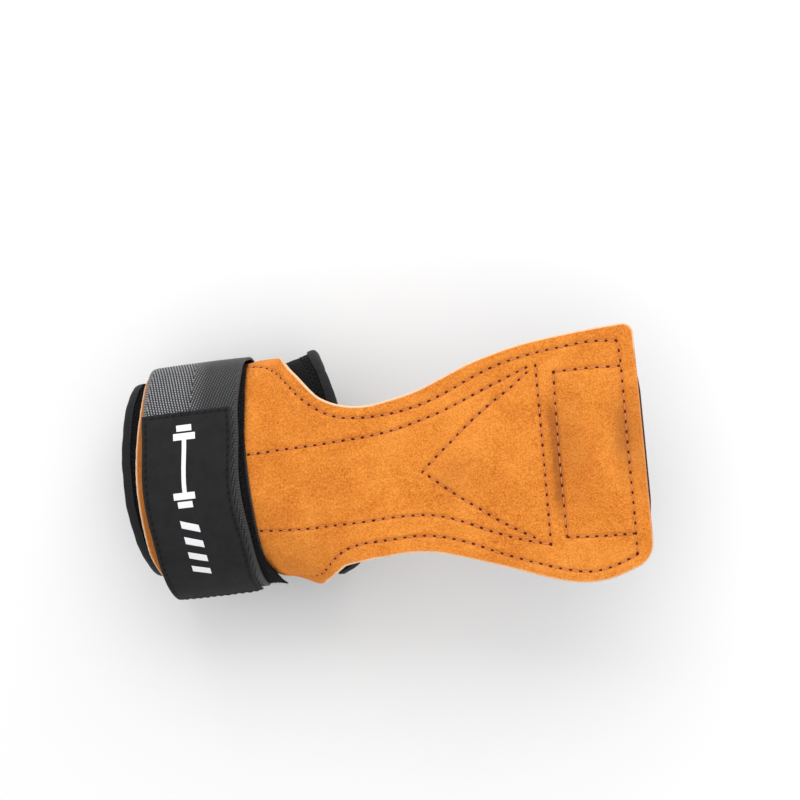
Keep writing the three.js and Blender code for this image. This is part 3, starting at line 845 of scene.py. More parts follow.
def leather_piece(name, s0, s1, lo_free, hi_free):
    P = pad_grid(s0, s1, LEATHER_MID, 0.62 if lo_free else 0.55, lo_free, hi_free)
    d = dist_to(BORDER, P)
    N = normals_of(P)
    if N[..., 2].mean() < 0:
        N = -N
    face = P + N * (LEATHER_T / 2)
    ds = dist_to(ALL_LINE, face)
    dh = dist_to(ALL_HOLE, face)
    top = leather_relief(face, d, ds, dh)
    # painted highlight along the cut edge, faded out along the middle of the finger end
    rim = np.clip(1 - (d - 0.42) / 0.45, 0, 1)
    rim = rim * (1 - 0.85 * ss(176.4, 178.2, P[..., 0]) * ss(37, 28, P[..., 1]) * ss(-46, -38, P[..., 1]))
    return slab(name, P, LEATHER_T, SUEDE, np.array([0.0, 0.0, -60.0]), d, 0.95, top,
                attrs={"rim": rim, "wear": wear_mask(face, ds)})


leather_a = leather_piece("leather_wrist_skin", LEATHER_X0, SPLIT, True, False)
leather_b = leather_piece("leather_finger_skin", SPLIT, END_X - 1e-4, False, True)
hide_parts("leather_wrist")
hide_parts("leather_palm", "leather_finger")


# under-layer, closed up against the leather at the edge and round the inserts
def under_piece(name, s0, s1, lo_free, hi_free):
    P = pad_grid(s0, s1, LEATHER_MID, 0.8, lo_free, hi_free, shrink=0.3)
    # the under-layer shows past the middle of the finger end only
    P[..., 0] -= 0.95 * ss(END_X - 7, END_X, P[..., 0]) * ss(20, 33, np.abs(P[..., 1] + 5))
    rims = [P[:, 0], P[:, -1]] + ([P[0]] if lo_free else []) + ([P[-1]] if hi_free else [])
    d = dist_to(np.vstack([resample(q, 0.25) for q in rims]), P)
    x, y = P[..., 0], P[..., 1]
    ds = dist_to(ALL_LINE, P)
    puff = 1 - np.exp(-(ds / 3.0) ** 1.5)
    drop = 1.35 + 0.9 * puff * in_poly(x, y, RECT) + 0.8 * puff * in_poly(x, y, TRI)
    P = P - np.stack([np.zeros_like(drop), np.zeros_like(drop), drop], -1)
    under = 0.12 * wobble(P, 3.0, 5.0) - 0.25 * np.exp(-(ds / 0.7) ** 2)
    # painted highlight along the under-layer's cut edge
    rim = np.clip(1 - (d - 0.1) / 0.5, 0, 1)
    return slab(name, P, 1.0, UNDER, np.array([0.0, 0.0, -60.0]), d, 0.6, None, under * np.clip(d, 0, 1),
                attrs={"rim": rim, "wear": np.zeros_like(d)})


under_a = under_piece("under_layer_palm", 79.0, SPLIT, True, False)
under_b = under_piece("under_layer_finger", SPLIT, END_X + 0.55, False, True)
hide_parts("reinforcement_palm")
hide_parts("lining_palm", "lining_finger", "insert_finger")


# ------------------------------------------------------------------ seams of the pad: thread and needle holes
def stitches(line, holes, relief=0.0, lift=0.16, dip=-0.55, gap=1.15):
    """Thread from hole to hole: rises out of one hole, lies in the groove, dives into the next."""
    out = []
    for a, b in zip(holes[:-1], holes[1:]):
        L = np.linalg.norm(b - a)
        if L < 1.0:
            continue
        f = np.array([0.0, 0.06, 0.16, 0.32, 0.5, 0.68, 0.84, 0.94, 1.0])
        g0 = gap * 0.5 / L
        t = g0 + (1 - 2 * g0) * f
        p = a + (b - a) * t[:, None]
        hgt = dip + (lift - dip) * np.clip(np.sin(np.pi * f), 0, 1) ** 0.45
        out.append((p, hgt))
    return out


def lay(pairs, bed):
    res = []
    for p, h in pairs:
        n = surf_normal(p)
        res.append(p + n * (h + bed)[:, None] if np.ndim(h + bed) else p + n * (h + bed))
    return res


def thread_r(f):
    return 0.23 * (0.72 + 0.28 * np.sin(np.pi * np.clip(f, 0, 1)) ** 0.5)


thread_paths = {"a": [], "b": []}
hole_spots = {"a": [], "b": []}
for key, holes in SEAM_HOLES.items():
    n = surf_normal(holes)
    for p in lay(stitches(SEAM_LINES[key], holes), np.float64(-0.22)):
        thread_paths["a" if p[:, 0].mean() < SPLIT else "b"].append(p)
    for i, (c, m) in enumerate(zip(holes, n)):
        t = holes[min(i + 1, len(holes) - 1)] - holes[max(i - 1, 0)]
        t = t - m * (t @ m)
        hole_spots["a" if c[0] < SPLIT else "b"].append((c, t / np.linalg.norm(t), m))


def hole_plugs(name, spots, la=0.74, lb=0.37, depth=0.30):
    """Small dark lens of painted shade in each needle hole, longer along the seam."""
    V, F3, F4 = [], [], []
    base = 0
    k = 10
    a = np.linspace(0, 2 * np.pi, k, endpoint=False)
    for i, (c, t, m) in enumerate(spots):
        b = np.cross(m, t)
        sa, sb = la * (0.88 + 0.3 * hash01(i)), lb * (0.85 + 0.35 * hash01(i, 1.7))
        ring1 = c + np.cos(a)[:, None] * t * sa + np.sin(a)[:, None] * b * sb - m * depth
        ring2 = c + 0.6 * (np.cos(a)[:, None] * t * sa + np.sin(a)[:, None] * b * sb) - m * (depth - 0.07)
        V += [ring1, ring2, (c - m * (depth - 0.09))[None], (c - m * (depth + 0.3))[None]]
        i0 = base + np.arange(k)
        i1 = np.roll(i0, -1)
        F4.append(np.stack([i0, i1, i1 + k, i0 + k], -1))
        F3.append(np.stack([i0 + k, i1 + k, np.full(k, base + 2 * k)], -1))
        F3.append(np.stack([i1, i0, np.full(k, base + 2 * k + 1)], -1))
        base += 2 * k + 2
    V = np.vstack(V)
    return make_mesh(name, V, [np.vstack(F4), np.vstack(F3)], HOLE_SHADE, {"rest": V})


seam_objs = {}
for k in ("a", "b"):
    seam_objs[k] = [tubes(f"seam_thread_{k}", thread_paths[k], thread_r, THREAD), hole_plugs(f"needle_holes_{k}", hole_spots[k])]

for o in (leather_a, *seam_objs["a"]):
    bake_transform(o)
for o in (leather_b, under_b, *seam_objs["b"]):
    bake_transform(o)
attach(under_a, "palm_pad")

# ------------------------------------------------------------------ cuff
N_CUFF = 2.1
cuff_point = ring


def arc_stations(t0, t1, n, step, lo_free, hi_free, x=0.0):
    tt = np.linspace(t0, t1, 1200)
    p = cuff_point(x, tt, n)
    s = np.concatenate([[0], np.cumsum(np.linalg.norm(np.diff(p, axis=0), axis=1))])
    return np.interp(spaced(s[-1], step, lo_free, hi_free), s, tt), s[-1]


def cuff_half(name, t0, t1, lo_free, hi_free, body):
    tt, L = arc_stations(t0, t1, N_CUFF, 0.9, lo_free, hi_free)
    S = np.linspace(0, L, len(tt))
    u = spaced(90.0, 0.95)
    k = len(FINE)
    x0, x1 = edge0(tt) + 1.0, edge1(tt) - 1.0
    W = x1 - x0
    off = np.array([np.concatenate([FINE[:-1], np.linspace(FINE[-1], w - FINE[-1], len(u) - 2 * k + 2), [w - f for f in reversed(FINE[:-1])]]) for w in W])
    X = x0[:, None] + off
    Tm = np.repeat(tt[:, None], X.shape[1], 1)
    P = cuff_point(X, Tm, N_CUFF)
    de = np.minimum(off, W[:, None] - off)
    # cover stitch just inside each binding pulls the foam in
    row = np.exp(-(((off - 4.6) / 1.5) ** 2)) + np.exp(-((((W[:, None] - off) - 5.4) / 1.8) ** 2))
    relief = -0.42 * row + 0.10 * wobble(P, 5.0, 2.0) + 0.05 * wobble(P, 1.9, 7.0)
    knit = np.stack([X, np.cumsum(np.concatenate([[0], np.linalg.norm(np.diff(P[:, 5], axis=0), axis=1)]))[:, None] + 0 * X, 0 * X], -1)
    o = slab(name, P, 4.2, NEO, np.array([8.0, 0.0, 0.0]), de, 2.2, relief, -0.2 * row, attrs={"knit": knit})
    o.data.materials.append(LINING)
    und = np.zeros(len(o.data.vertices), np.float32)
    o.data.attributes["under"].data.foreach_get("value", und)
    idx = np.zeros(len(o.data.polygons), np.int32)
    for i, pl in enumerate(o.data.polygons):
        if und[pl.vertices[0]] > 0.5 and und[pl.vertices[2]] > 0.5:
            idx[i] = 1
    o.data.polygons.foreach_set("material_index", idx)
    o.data.update()
    return o


T_SPLIT = 12.0
cuff_u = cuff_half("cuff_sleeve_ulnar", T_SPLIT, 266.5, False, True, "ulnar_wing")
cuff_r = cuff_half("cuff_sleeve_radial", T_SPLIT - 98.5, T_SPLIT, True, False, "radial_wing")
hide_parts("cuff_shell_palm", "cuff_shell_ulnar", "cuff_lining_palm", "cuff_lining_ulnar")
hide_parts("cuff_shell_radial", "cuff_lining_radial")


def u_profile(w=4.0):
    """Rounded U of the edge binding: (offset inward from the edge, n). Closed loop."""
    out = [(w, -0.95), (w * 0.72, -1.02), (w * 0.45, -1.02), (1.6, -0.98), (0.75, -0.72), (0.22, -0.1), (0.0, 0.9), (0.0, 2.1), (0.0, 3.3), (0.22, 4.3), (0.75, 4.93), (1.6, 5.18),
           (w * 0.45, 5.24), (w * 0.72, 5.24), (w, 5.12)]
    inn = [(w + 0.12, 4.8), (w, 4.42), (w * 0.6, 4.42), (1.8, 4.38), (1.1, 4.0), (0.8, 3.2), (0.8, 2.1), (0.8, 0.9), (1.1, 0.15), (1.8, -0.2), (w * 0.6, -0.22), (w, -0.22), (w + 0.12, -0.6)]
    return out + inn


def ear(poly):
    """Triangles of a simple closed polygon."""
    pts = [np.array(p, float) for p in poly]
    area = sum(a[0] * b[1] - b[0] * a[1] for a, b in zip(pts, pts[1:] + pts[:1]))
    idx = list(range(len(pts)))
    if area < 0:
        idx.reverse()
    tris = []
    cr = lambda a, b, c: (b[0] - a[0]) * (c[1] - a[1]) - (b[1] - a[1]) * (c[0] - a[0])
    while len(idx) > 3:
        for k in range(len(idx)):
            i, j, l = idx[k - 1], idx[k], idx[(k + 1) % len(idx)]
            a, b, c = pts[i], pts[j], pts[l]
            if cr(a, b, c) <= 1e-12:
                continue
            if any(cr(a, b, pts[q]) >= 0 and cr(b, c, pts[q]) >= 0 and cr(c, a, pts[q]) >= 0 for q in idx if q not in (i, j, l)):
                continue
            tris.append((i, j, l))
            idx.pop(k)
            break
        else:
            idx.pop(0)
    tris.append(tuple(idx))
    return [t if area > 0 else t[::-1] for t in tris]


def lathe_strip(name, rings, poly, mat, attrs, sharp=60):
    """Closed body from equal loops with flat ends. rings (k,m,3); poly: the loop in 2-D, for the ends."""
    k, m = rings.shape[:2]
    i = np.arange(k * m).reshape(k, m)
    j = np.roll(i, -1, axis=1)
    Q = np.stack([i[:-1], j[:-1], j[1:], i[1:]], -1).reshape(-1, 4)
    t = np.array(ear(poly))
    caps = np.vstack([t[:, ::-1], t + (k - 1) * m])
    return make_mesh(name, rings.reshape(-1, 3), [Q, caps], mat, attrs, sharp)


def binding(name, t0, t1, side, nodes):
    """side -1: forearm edge, +1: hand edge."""
    prof = np.array(u_profile())
    tt, L = arc_stations(t0, t1, N_CUFF, 0.7, False, False)
    dense = np.linspace(0, L, len(tt))
    rings, knit = [], []
    for q, (t, s) in enumerate(zip(tt, dense)):
        off, n = prof[:, 0].copy(), prof[:, 1].copy()
        # stitches near the binding's inner edge pinch it every 3.4 mm
        pinch = 0.5 + 0.5 * math.cos(2 * math.pi * s / 3.4)
        near = np.exp(-(((off - 3.2) / 0.6) ** 2))
        n = n - near * 0.22 * pinch * np.sign(n - 2.1)
        off = off + 0.10 * math.sin(s / 3.1) + 0.06 * math.sin(s / 1.3 + 1.0)
        x = (edge0(t) + off) if side < 0 else (edge1(t) - off)
        rings.append(cuff_point(x, np.full(len(x), t), n))
        knit.append(np.stack([np.cumsum(np.concatenate([[0], np.hypot(np.diff(prof[:, 0]), np.diff(prof[:, 1]))])), np.full(len(x), s), 0 * x], -1))
    R = np.array(rings)
    o = lathe_strip(name, R, [(a, b) for a, b in prof], BIND, {"rest": R.reshape(-1, 3), "knit": np.array(knit).reshape(-1, 3)})
    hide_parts(*nodes)
    return o


b_fu = binding("binding_forearm_u", T_SPLIT, 267.6, -1, ["binding_forearm_palm", "binding_forearm_ulnar"])
b_fr = binding("binding_forearm_r", T_SPLIT - 99.6, T_SPLIT, -1, ["binding_forearm_radial"])
b_hu = binding("binding_hand_u", T_SPLIT, 267.6, 1, ["binding_hand_palm", "binding_hand_ulnar"])
b_hr = binding("binding_hand_r", T_SPLIT - 99.6, T_SPLIT, 1, ["binding_hand_radial"])


def end_binding(name, t_end, direction, node):
    """Binding of a free end at the back of the wrist: a U along X."""
    prof = np.array(u_profile(4.6))
    xs = np.linspace(edge0(t_end) + 4.2, edge1(t_end) - 4.2, 100)
    rings = []
    deg = 1.0 / (math.radians(1) * 37.0)
    for q, x in enumerate(xs):
        off, n = prof[:, 0], prof[:, 1].copy()
        near = np.exp(-(((off - 3.7) / 0.7) ** 2))
        n = n - near * 0.2 * (0.5 + 0.5 * math.cos(2 * math.pi * x / 3.4)) * np.sign(n - 2.1)
        t = t_end + direction * (1.3 - off) * deg
        rings.append(cuff_point(np.full(len(t), x), t, n + 0.02))
    R = np.array(rings)
    kn = np.stack([np.repeat(prof[None, :, 0], len(xs), 0), np.repeat(xs[:, None], len(prof), 1), np.zeros((len(xs), len(prof)))], -1)
    o = lathe_strip(name, R, [(a, b) for a, b in prof], BIND, {"rest": R.reshape(-1, 3), "knit": kn.reshape(-1, 3)})
    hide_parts(node)
    return o


e_u = end_binding("binding_end_u", 266.5, 1, "binding_end_ulnar")
e_r = end_binding("binding_end_r", 273.5, -1, "binding_end_radial")


def zigzag(name, t0, t1, side, amp=1.15, pitch=2.5):
    tt, L = arc_stations(t0, t1, 4.3, 1.0, False, False)
    n = int(L / (pitch / 2))
    s = np.linspace(0, L, n * 5 + 1)
    t = np.interp(s, np.linspace(0, L, len(tt)), tt)
    ph = s / pitch
    tri = 2 * np.abs(2 * (ph - np.floor(ph + 0.5))) - 1
    c = (edge0(t) + 5.5) if side < 0 else (edge1(t) - 6.3)
    x = c + amp * tri * (1 if side < 0 else -1)
    p = cuff_point(x, t, 4.2 - 0.30 + 0.16 + 0.10 * np.cos(4 * np.pi * ph))
    # two thin rows that close the cover stitch on both sides
    rows = []
    for dx in (-1.5, 1.5):
        k = int(L / 1.9)
        for i in range(k):
            a = np.linspace(i + 0.1, i + 0.9, 6) * L / k
            ta = np.interp(a, np.linspace(0, L, len(tt)), tt)
            cx = (edge0(ta) + 5.5) if side < 0 else (edge1(ta) - 6.3)
            hh = np.sin(np.pi * np.linspace(0, 1, 6)) ** 0.5
            rows.append(cuff_point(cx + dx, ta, 4.2 - 0.45 + 0.30 * hh))
    o = tubes(name, [p] + rows, 0.17, THREAD_BLACK, sides=5)
    return o


z_fu = zigzag("cover_stitch_forearm_u", T_SPLIT, 260, -1)
z_fr = zigzag("cover_stitch_forearm_r", T_SPLIT - 92, T_SPLIT, -1)
z_hu = zigzag("cover_stitch_hand_u", T_SPLIT, 260, 1)
z_hr = zigzag("cover_stitch_hand_r", T_SPLIT - 92, T_SPLIT, 1)
for o in (cuff_u, b_fu, b_hu, z_fu, z_hu):
    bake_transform(o)
for o in (cuff_r, b_fr, b_hr, z_fr, z_hr):
    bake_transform(o)
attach(e_u, "ulnar_wing")
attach(e_r, "radial_wing")


# ------------------------------------------------------------------ strap
def herringbone(w, s, half):
    """Rib height 0..1 of the webbing at w across (from the middle) and s along."""
    al = RIB_A
    sg = np.where(w > 0, 1.0, -1.0)
    r = (w * sg * math.cos(al) + s * math.sin(al)) / RIB_P
    q = (-w * sg * math.sin(al) + s * math.cos(al)) / BEAD_P
    rid = np.floor(r)
    rib = np.abs(np.cos(np.pi * (r - rid - 0.5)))
    bead = 0.62 + 0.38 * np.abs(np.cos(np.pi * (q + 0.5 * np.mod(rid, 2))))
    h = rib**0.8 * bead
    # plain selvedge
    e = np.abs(w) - (half - 1.7)
    sel = 0.55 + 0.4 * np.abs(np.cos(np.pi * s / 1.2 + 0.9 * sg))
    k = ss(-0.25, 0.25, e)
    return h * (1 - k) + sel * k * 0.8


ZERO_S = {}


def arc_s(t_ref, tt, n_fun):
    """Arc length of the strap's middle from t_ref to each t."""
    dense = np.linspace(min(t_ref, tt.min()) - 1, tt.max() + 1, 3000)
    p = strap_ring(0, dense, n_fun(dense))
    s = np.concatenate([[0], np.cumsum(np.linalg.norm(np.diff(p, axis=0), axis=1))])
    return np.interp(tt, dense, s) - np.interp(t_ref, dense, s)


def strap_n(t):
    """Mid-surface of the strap at t from 16 to 535 degrees: base, back, then the top run."""
    t = np.asarray(t, float)
    base = np.full(t.shape, 7.3)
    n = np.where(t < 180, base, n_back(t))
    n = np.where(t > 358, n_top(t - 360), n)
    return n + 0.65


def strap_x(t):
    t = np.asarray(t, float)
    k, c = ss(200, 350, t), np.where(t > 360, top_c(t - 360), top_c(0.0))
    x0 = BASE_X0 * (1 - k) + (c - TOP_HALF) * k
    x1 = BASE_X1 * (1 - k) + (c + TOP_HALF) * k
    return x0, x1


def webbing(name, t0, t1, step, lo_free, hi_free, body_nodes, amp=0.26, T=1.1, hi_wave=None):
    dense = np.linspace(t0, t1, 2400)
    p = strap_ring(0, dense, strap_n(dense))
    s = np.concatenate([[0], np.cumsum(np.linalg.norm(np.diff(p, axis=0), axis=1))])
    st = spaced(s[-1], step, lo_free, hi_free)
    W = 2 * TOP_HALF
    a = spaced(W, step)
    f = a / W
    St = np.repeat(st[:, None], len(f), 1)
    if hi_wave is not None:
        St = St + hi_wave(f)[None, :] * ss(s[-1] - 16, s[-1], St)
    slope = (s[-1] - s[-50]) / (dense[-1] - dense[-50])
    Tm = np.interp(St, s, dense) + np.maximum(St - s[-1], 0) / slope
    tt = np.interp(st, s, dense)
    X0, X1 = strap_x(Tm)
    X = X0 + (X1 - X0) * f[None, :]
    Nm = strap_n(Tm)
    # the edges of a pulled strap lie a touch lower than its middle
    crown = 0.25 * (1 - (2 * f - 1) ** 2)[None, :]
    P = strap_ring(X, Tm, Nm + crown - 0.1)
    w = (f - 0.5) * W
    S = arc_s(16.0, tt, strap_n)
    Wg, Sg = np.broadcast_arrays(w[None, :], S[:, None])
    h = herringbone(Wg, Sg, W / 2)
    d = np.minimum(a, W - a)[None, :] + 0 * X
    if lo_free:
        d = np.minimum(d, st[:, None])
    if hi_free:
        d = np.minimum(d, (s[-1] - st)[:, None])
    fade = np.clip(d / 0.5, 0, 1)
    o = slab(name, P, T, WEB, np.array([0.0, 0.0, 0.0]), d, 0.5, amp * (h - 0.35) * fade, amp * (h - 0.35) * fade,
             attrs={"weave": np.stack([Wg, Sg, 0 * Sg], -1), "rib": h})
    if body_nodes:
        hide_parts(*body_nodes)
    return o


web1 = webbing("strap_base_webbing", 16.0, 250.0, 0.45, True, False, ["strap_base"])
web2 = webbing("strap_back_webbing", 250.0, 402.0, 0.36, False, False, ["strap_back", "tab_web_root"])
web3 = webbing("strap_tab_webbing", 402.0, 535.0, 0.36, False, True, ["tab_web_end"], hi_wave=lambda f: 0.7 - 3.6 * f + 0.25 * np.sin(f * 40))
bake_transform(web1)
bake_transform(web2)
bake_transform(web3)


def arc_sheet(name, t0, t1, x0f, x1f, nf, T, mat, step, relief, r, lo_wave=None, hi_wave=None, extra=None):
    """Layer lying on the palm side. x0f/x1f(t): edges; nf(t,f): mid-surface n; hi_wave(f): ragged end, mm."""
    dense = np.linspace(t0, t1, 1500)
    p = strap_ring(0, dense, nf(dense, 0.5))
    s = np.concatenate([[0], np.cumsum(np.linalg.norm(np.diff(p, axis=0), axis=1))])
    st = spaced(s[-1], step)
    tt = np.interp(st, s, dense)
    W = float(np.mean(x1f(tt) - x0f(tt)))
    a = spaced(W, step)
    f = a / W
    Sg = np.repeat(st[:, None], len(f), 1)
    if hi_wave is not None:
        Sg = Sg + hi_wave(f)[None, :] * ss(s[-1] - 14, s[-1], Sg)
    slope = (s[-1] - s[-30]) / (dense[-1] - dense[-30])
    Tm = np.interp(Sg, s, dense)
    Tm = np.where(Sg > s[-1], t1 + (Sg - s[-1]) / slope, Tm)
    X0, X1 = x0f(Tm), x1f(Tm)
    X = X0 + (X1 - X0) * f[None, :]
    P = strap_ring(X, Tm, nf(Tm, f[None, :] + 0 * Tm))
    d = np.minimum(np.minimum(a, W - a)[None, :], np.minimum(st, s[-1] - st)[:, None])
    w = (f[None, :] - 0.5) * W + 0 * Tm
    top = relief(w, Sg, d, P) if relief else None
    at = {"weave": np.stack([w, Sg, 0 * w], -1), "rim": np.clip(1 - d / 0.5, 0, 1)}
    if extra:
        at.update(extra(w, Sg, d, P))
    o = slab(name, P, T, mat, np.array([0.0, 0.0, 0.0]), d, r, top, attrs=at)
    return o, dict(P=P, d=d, w=w, s=Sg, W=W, L=s[-1], tt=tt, f=f, top=top)


def lx0(t):
    return top_c(t) - TOP_HALF - 0.15


def lx1(t):
    return top_c(t) + TOP_HALF - 2.8 + 0.4 * np.sin(np.asarray(t) / 9.0)


LABEL_T0, LABEL_T1, LABEL_N, LABEL_T = 55.0, 174.4, 13.3, 0.8
HEM = 1.7


def ragged(f):
    return 1.4 - 4.2 * f + 0.5 * np.sin(f * 9.0 + 0.4) + 0.35 * np.sin(f * 23 + 1.0) + 0.2 * np.sin(f * 61)


def label_n(t, f):
    """The label bows up a little between its seams and lifts with the free end of the tab."""
    return LABEL_N + 0.30 * np.sin(np.pi * np.clip(f, 0, 1)) ** 0.5 - 0.25 + 0.4 * ss(160, 176, t)


def label_relief(w, s, d, P):
    st = -0.26 * np.exp(-(((d - HEM) / 0.40) ** 2)) * (0.55 + 0.45 * np.cos(2 * np.pi * (s + w) / 3.1))
    hem = 0.16 * np.exp(-(((d - 0.7) / 0.7) ** 2))
    puff = 0.08 * np.exp(-(((d - HEM - 1.2) / 0.8) ** 2))
    lowf = 0.12 * wobble(P, 6.0, 1.0) + 0.05 * wobble(P, 2.2, 4.0)
    return (st + hem + puff + lowf) * np.clip(d / 0.4, 0, 1)


def label_pits(w, s, d, P):
    # painted shade where the hem stitches sink into the cloth
    across = np.where(d < HEM - 0.9, 0.0, np.exp(-(((d - HEM) / 0.42) ** 2)))
    return {"pit": 0.9 * across * ss(-0.1, 0.75, np.cos(2 * np.pi * (s + w) / 3.1))}


label, LG = arc_sheet("label_patch_cloth", LABEL_T0, LABEL_T1, lx0, lx1, label_n, LABEL_T, LABEL, 0.42, label_relief, 0.42, hi_wave=ragged, extra=label_pits)
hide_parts("label_patch")
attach(label, "tab")


def hx0(t):
    return top_c(t) - TOP_HALF + 1.0


def hx1(t):
    return top_c(t) + TOP_HALF - 0.3


def pile_relief(amp, seed):
    def fn(w, s, d, P):
        return amp * (0.6 * wobble(P, 0.9, seed) + 0.5 * wobble(P, 0.45, seed + 3)) * np.clip(d / 0.3, 0, 1)
    return fn


hook, HG = arc_sheet("hook_tape_pile", 56.5, 174.6, hx0, hx1, lambda t, f: 10.62 + 0.2 * ss(160, 176, t) + 0 * f, 0.8, HOOK, 0.6, pile_relief(0.16, 2.0), 0.4,
                     hi_wave=lambda f: 0.9 - 3.2 * f + 0.5 * np.sin(f * 14) + 0.4 * np.sin(f * 37 + 1) + 0.4 * hash01(np.round(f * 60)))
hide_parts("hook_tape")
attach(hook, "tab")

loop, LP = arc_sheet("loop_tape_pile", 19.5, 177.0, lambda t: BASE_X0 + 2 + 0 * t, lambda t: BASE_X1 + 1.0 - 1.7 * ss(50, 86, t) + 4.6 * ss(128, 174, t), lambda t, f: 9.3 + 3.4 * ss(150, 177, t) * np.clip(f - 0.2, 0, 1) ** 1.6, 0.8, LOOP, 0.6,
                     pile_relief(0.22, 9.0), 0.4, hi_wave=lambda f: 0.8 * np.sin(f * 11) + 0.6 * np.sin(f * 31 + 1) - 1.5 * ss(0.5, 0.9, f) + 1.8 * ss(0.93, 1.0, f))
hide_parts("loop_tape")
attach(loop, "palm_base")


# thread round the label and along the sides of the base tape
def edge_threads(grid, inset, pitch, gap=0.9, r=0.19, sides=5, lift=0.12, name="thread", body="tab", skip_end=False, sides_used="lrse"):
    """Stitches parallel to the border of a sheet made by arc_sheet."""
    P, W, L = grid["P"], grid["W"], grid["L"]
    N = normals_of(P)
    if np.sum(N * P) < 0:
        N = -N
    top = grid["top"] if grid["top"] is not None else 0 * P[..., 0]
    F = P + N * (0.4 + top)[..., None]
    s_axis, f_axis = grid["s"][:, len(grid["f"]) // 2], grid["f"] * W

    def at(w, s):
        i = np.clip(np.interp(s, s_axis, np.arange(len(s_axis))), 0, len(s_axis) - 1.001)
        j = np.clip(np.interp(w, f_axis, np.arange(len(f_axis))), 0, len(f_axis) - 1.001)
        i0, j0 = i.astype(int), j.astype(int)
        fi, fj = (i - i0)[:, None], (j - j0)[:, None]
        g = lambda A: (A[i0, j0] * (1 - fi) + A[i0 + 1, j0] * fi) * (1 - fj) + (A[i0, j0 + 1] * (1 - fi) + A[i0 + 1, j0 + 1] * fi) * fj
        return g(F), g(N)

    paths = []
    runs = []
    if "l" in sides_used:
        runs.append(((inset, inset), (inset, L - inset)))
    if "r" in sides_used:
        runs.append(((W - inset, inset), (W - inset, L - inset)))
    if "s" in sides_used:
        runs.append(((inset, inset), (W - inset, inset)))
    if "e" in sides_used:
        runs.append(((inset, L - inset), (W - inset, L - inset)))
    for (w0, s0), (w1, s1) in runs:
        R = math.hypot(w1 - w0, s1 - s0)
        k = max(1, int(round(R / pitch)))
        for i in range(k):
            f = (i + 0.5 + np.linspace(-0.5, 0.5, 7) * (1 - gap / pitch)) / k
            w, s = w0 + (w1 - w0) * f, s0 + (s1 - s0) * f
            p, n = at(w, s)
            hgt = -0.22 + (lift + 0.22) * np.sin(np.pi * np.linspace(0, 1, 7)) ** 0.45
            paths.append(p + n * hgt[:, None])
    o = tubes(name, paths, r, THREAD_BLACK, sides=sides)
    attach(o, body)
    return o


edge_threads(LG, HEM, 3.1, name="label_seam_thread")
edge_threads(LP, 2.0, 2.8, name="loop_tape_seam_thread", body="palm_base", sides_used="lr")


# generic printed mark: a plain dumbbell sign and three slanted bars, on the label
def on_label(w, s, up=0.0):
    """Point on the label's face; w across from its middle, s along from its top edge."""
    P, W = LG["P"], LG["W"]
    N = normals_of(P)
    if np.sum(N * P) < 0:
        N = -N
    F = P + N * (LABEL_T / 2 + LG["top"])[..., None]
    s_axis, f_axis = LG["s"][:, len(LG["f"]) // 2], (LG["f"] - 0.5) * W
    shp = np.shape(w)
    w, s = np.ravel(w), np.ravel(s)
    i = np.clip(np.interp(s, s_axis, np.arange(len(s_axis))), 0, len(s_axis) - 1.001)
    j = np.clip(np.interp(w, f_axis, np.arange(len(f_axis))), 0, len(f_axis) - 1.001)
    i0, j0 = i.astype(int), j.astype(int)
    fi, fj = (i - i0)[:, None], (j - j0)[:, None]
    g = lambda A: (A[i0, j0] * (1 - fi) + A[i0 + 1, j0] * fi) * (1 - fj) + (A[i0, j0 + 1] * (1 - fi) + A[i0 + 1, j0 + 1] * fi) * fj
    return (g(F) + g(N) * up).reshape(*shp, 3)


def print_bar(name, s0, s1, w0, w1, slant=0.0, taper=0.0):
    """Printed bar between s0 and s1 along the label and w0 and w1 across it."""
    s = s0 + spaced(s1 - s0, 0.5, fine=(0, 0.12, 0.3))
    w = w0 + spaced(w1 - w0, 0.5, fine=(0, 0.12, 0.3))
    Sg, Wg = np.meshgrid(s, w, indexing="ij")
    d = np.minimum(np.minimum(Sg - s0, s1 - Sg), np.minimum(Wg - w0, w1 - Wg))
    Sg = Sg + slant * (Wg - (w0 + w1) / 2)
    P = on_label(Wg, Sg, 0.055)
    o = slab(name, P, 0.09, PRINT, np.array([0.0, 0.0, 0.0]), d, 0.12, attrs={})
    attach(o, "tab")
    return o


LW, LL = LG["W"], LG["L"]
mark = [
    # dumbbell: bar along the strap, two plates at each end
    (12.2, 33.4, -0.9, 0.9, 0.0),
    (9.4, 12.2, -4.5, 4.5, 0.0), (6.0, 8.6, -3.1, 3.1, 0.0),
    (33.4, 36.2, -4.5, 4.5, 0.0), (37.0, 39.6, -3.1, 3.1, 0.0),
    # four slanted bars
    (46.0, 49.2, -3.6, 3.6, 0.35), (53.0, 56.2, -3.6, 3.6, 0.35), (60.0, 63.2, -3.6, 3.6, 0.35), (67.0, 70.2, -3.6, 3.6, 0.35),
]
for i, (a, b, c, e, sl) in enumerate(mark):
    print_bar(f"printed_mark_{i + 1}", a, b, c - 0.8 - a / 60, e - 0.8 - a / 60, sl)


# loose fibres: pile at the tape edges and frayed threads at the label's end
def fibres(name, roots, dirs, length, radius, mat, body=None, blend=None, seed=1.0):
    paths = []
    for i, (p, n) in enumerate(zip(roots, dirs)):
        h = np.array([hash01(i, seed), hash01(i, seed + 1.3), hash01(i, seed + 2.1), hash01(i, seed + 3.7)])
        side = np.array([h[0] - 0.5, h[1] - 0.5, h[2] - 0.5]) * 1.5
        L = length * (0.45 + 0.8 * h[3])
        f = np.linspace(0, 1, 4)[:, None]
        paths.append(p + n * L * f + side * L * 0.55 * f**2)
    o = tubes(name, paths, lambda f: radius * (1 - 0.6 * f), mat, sides=3)
    return o


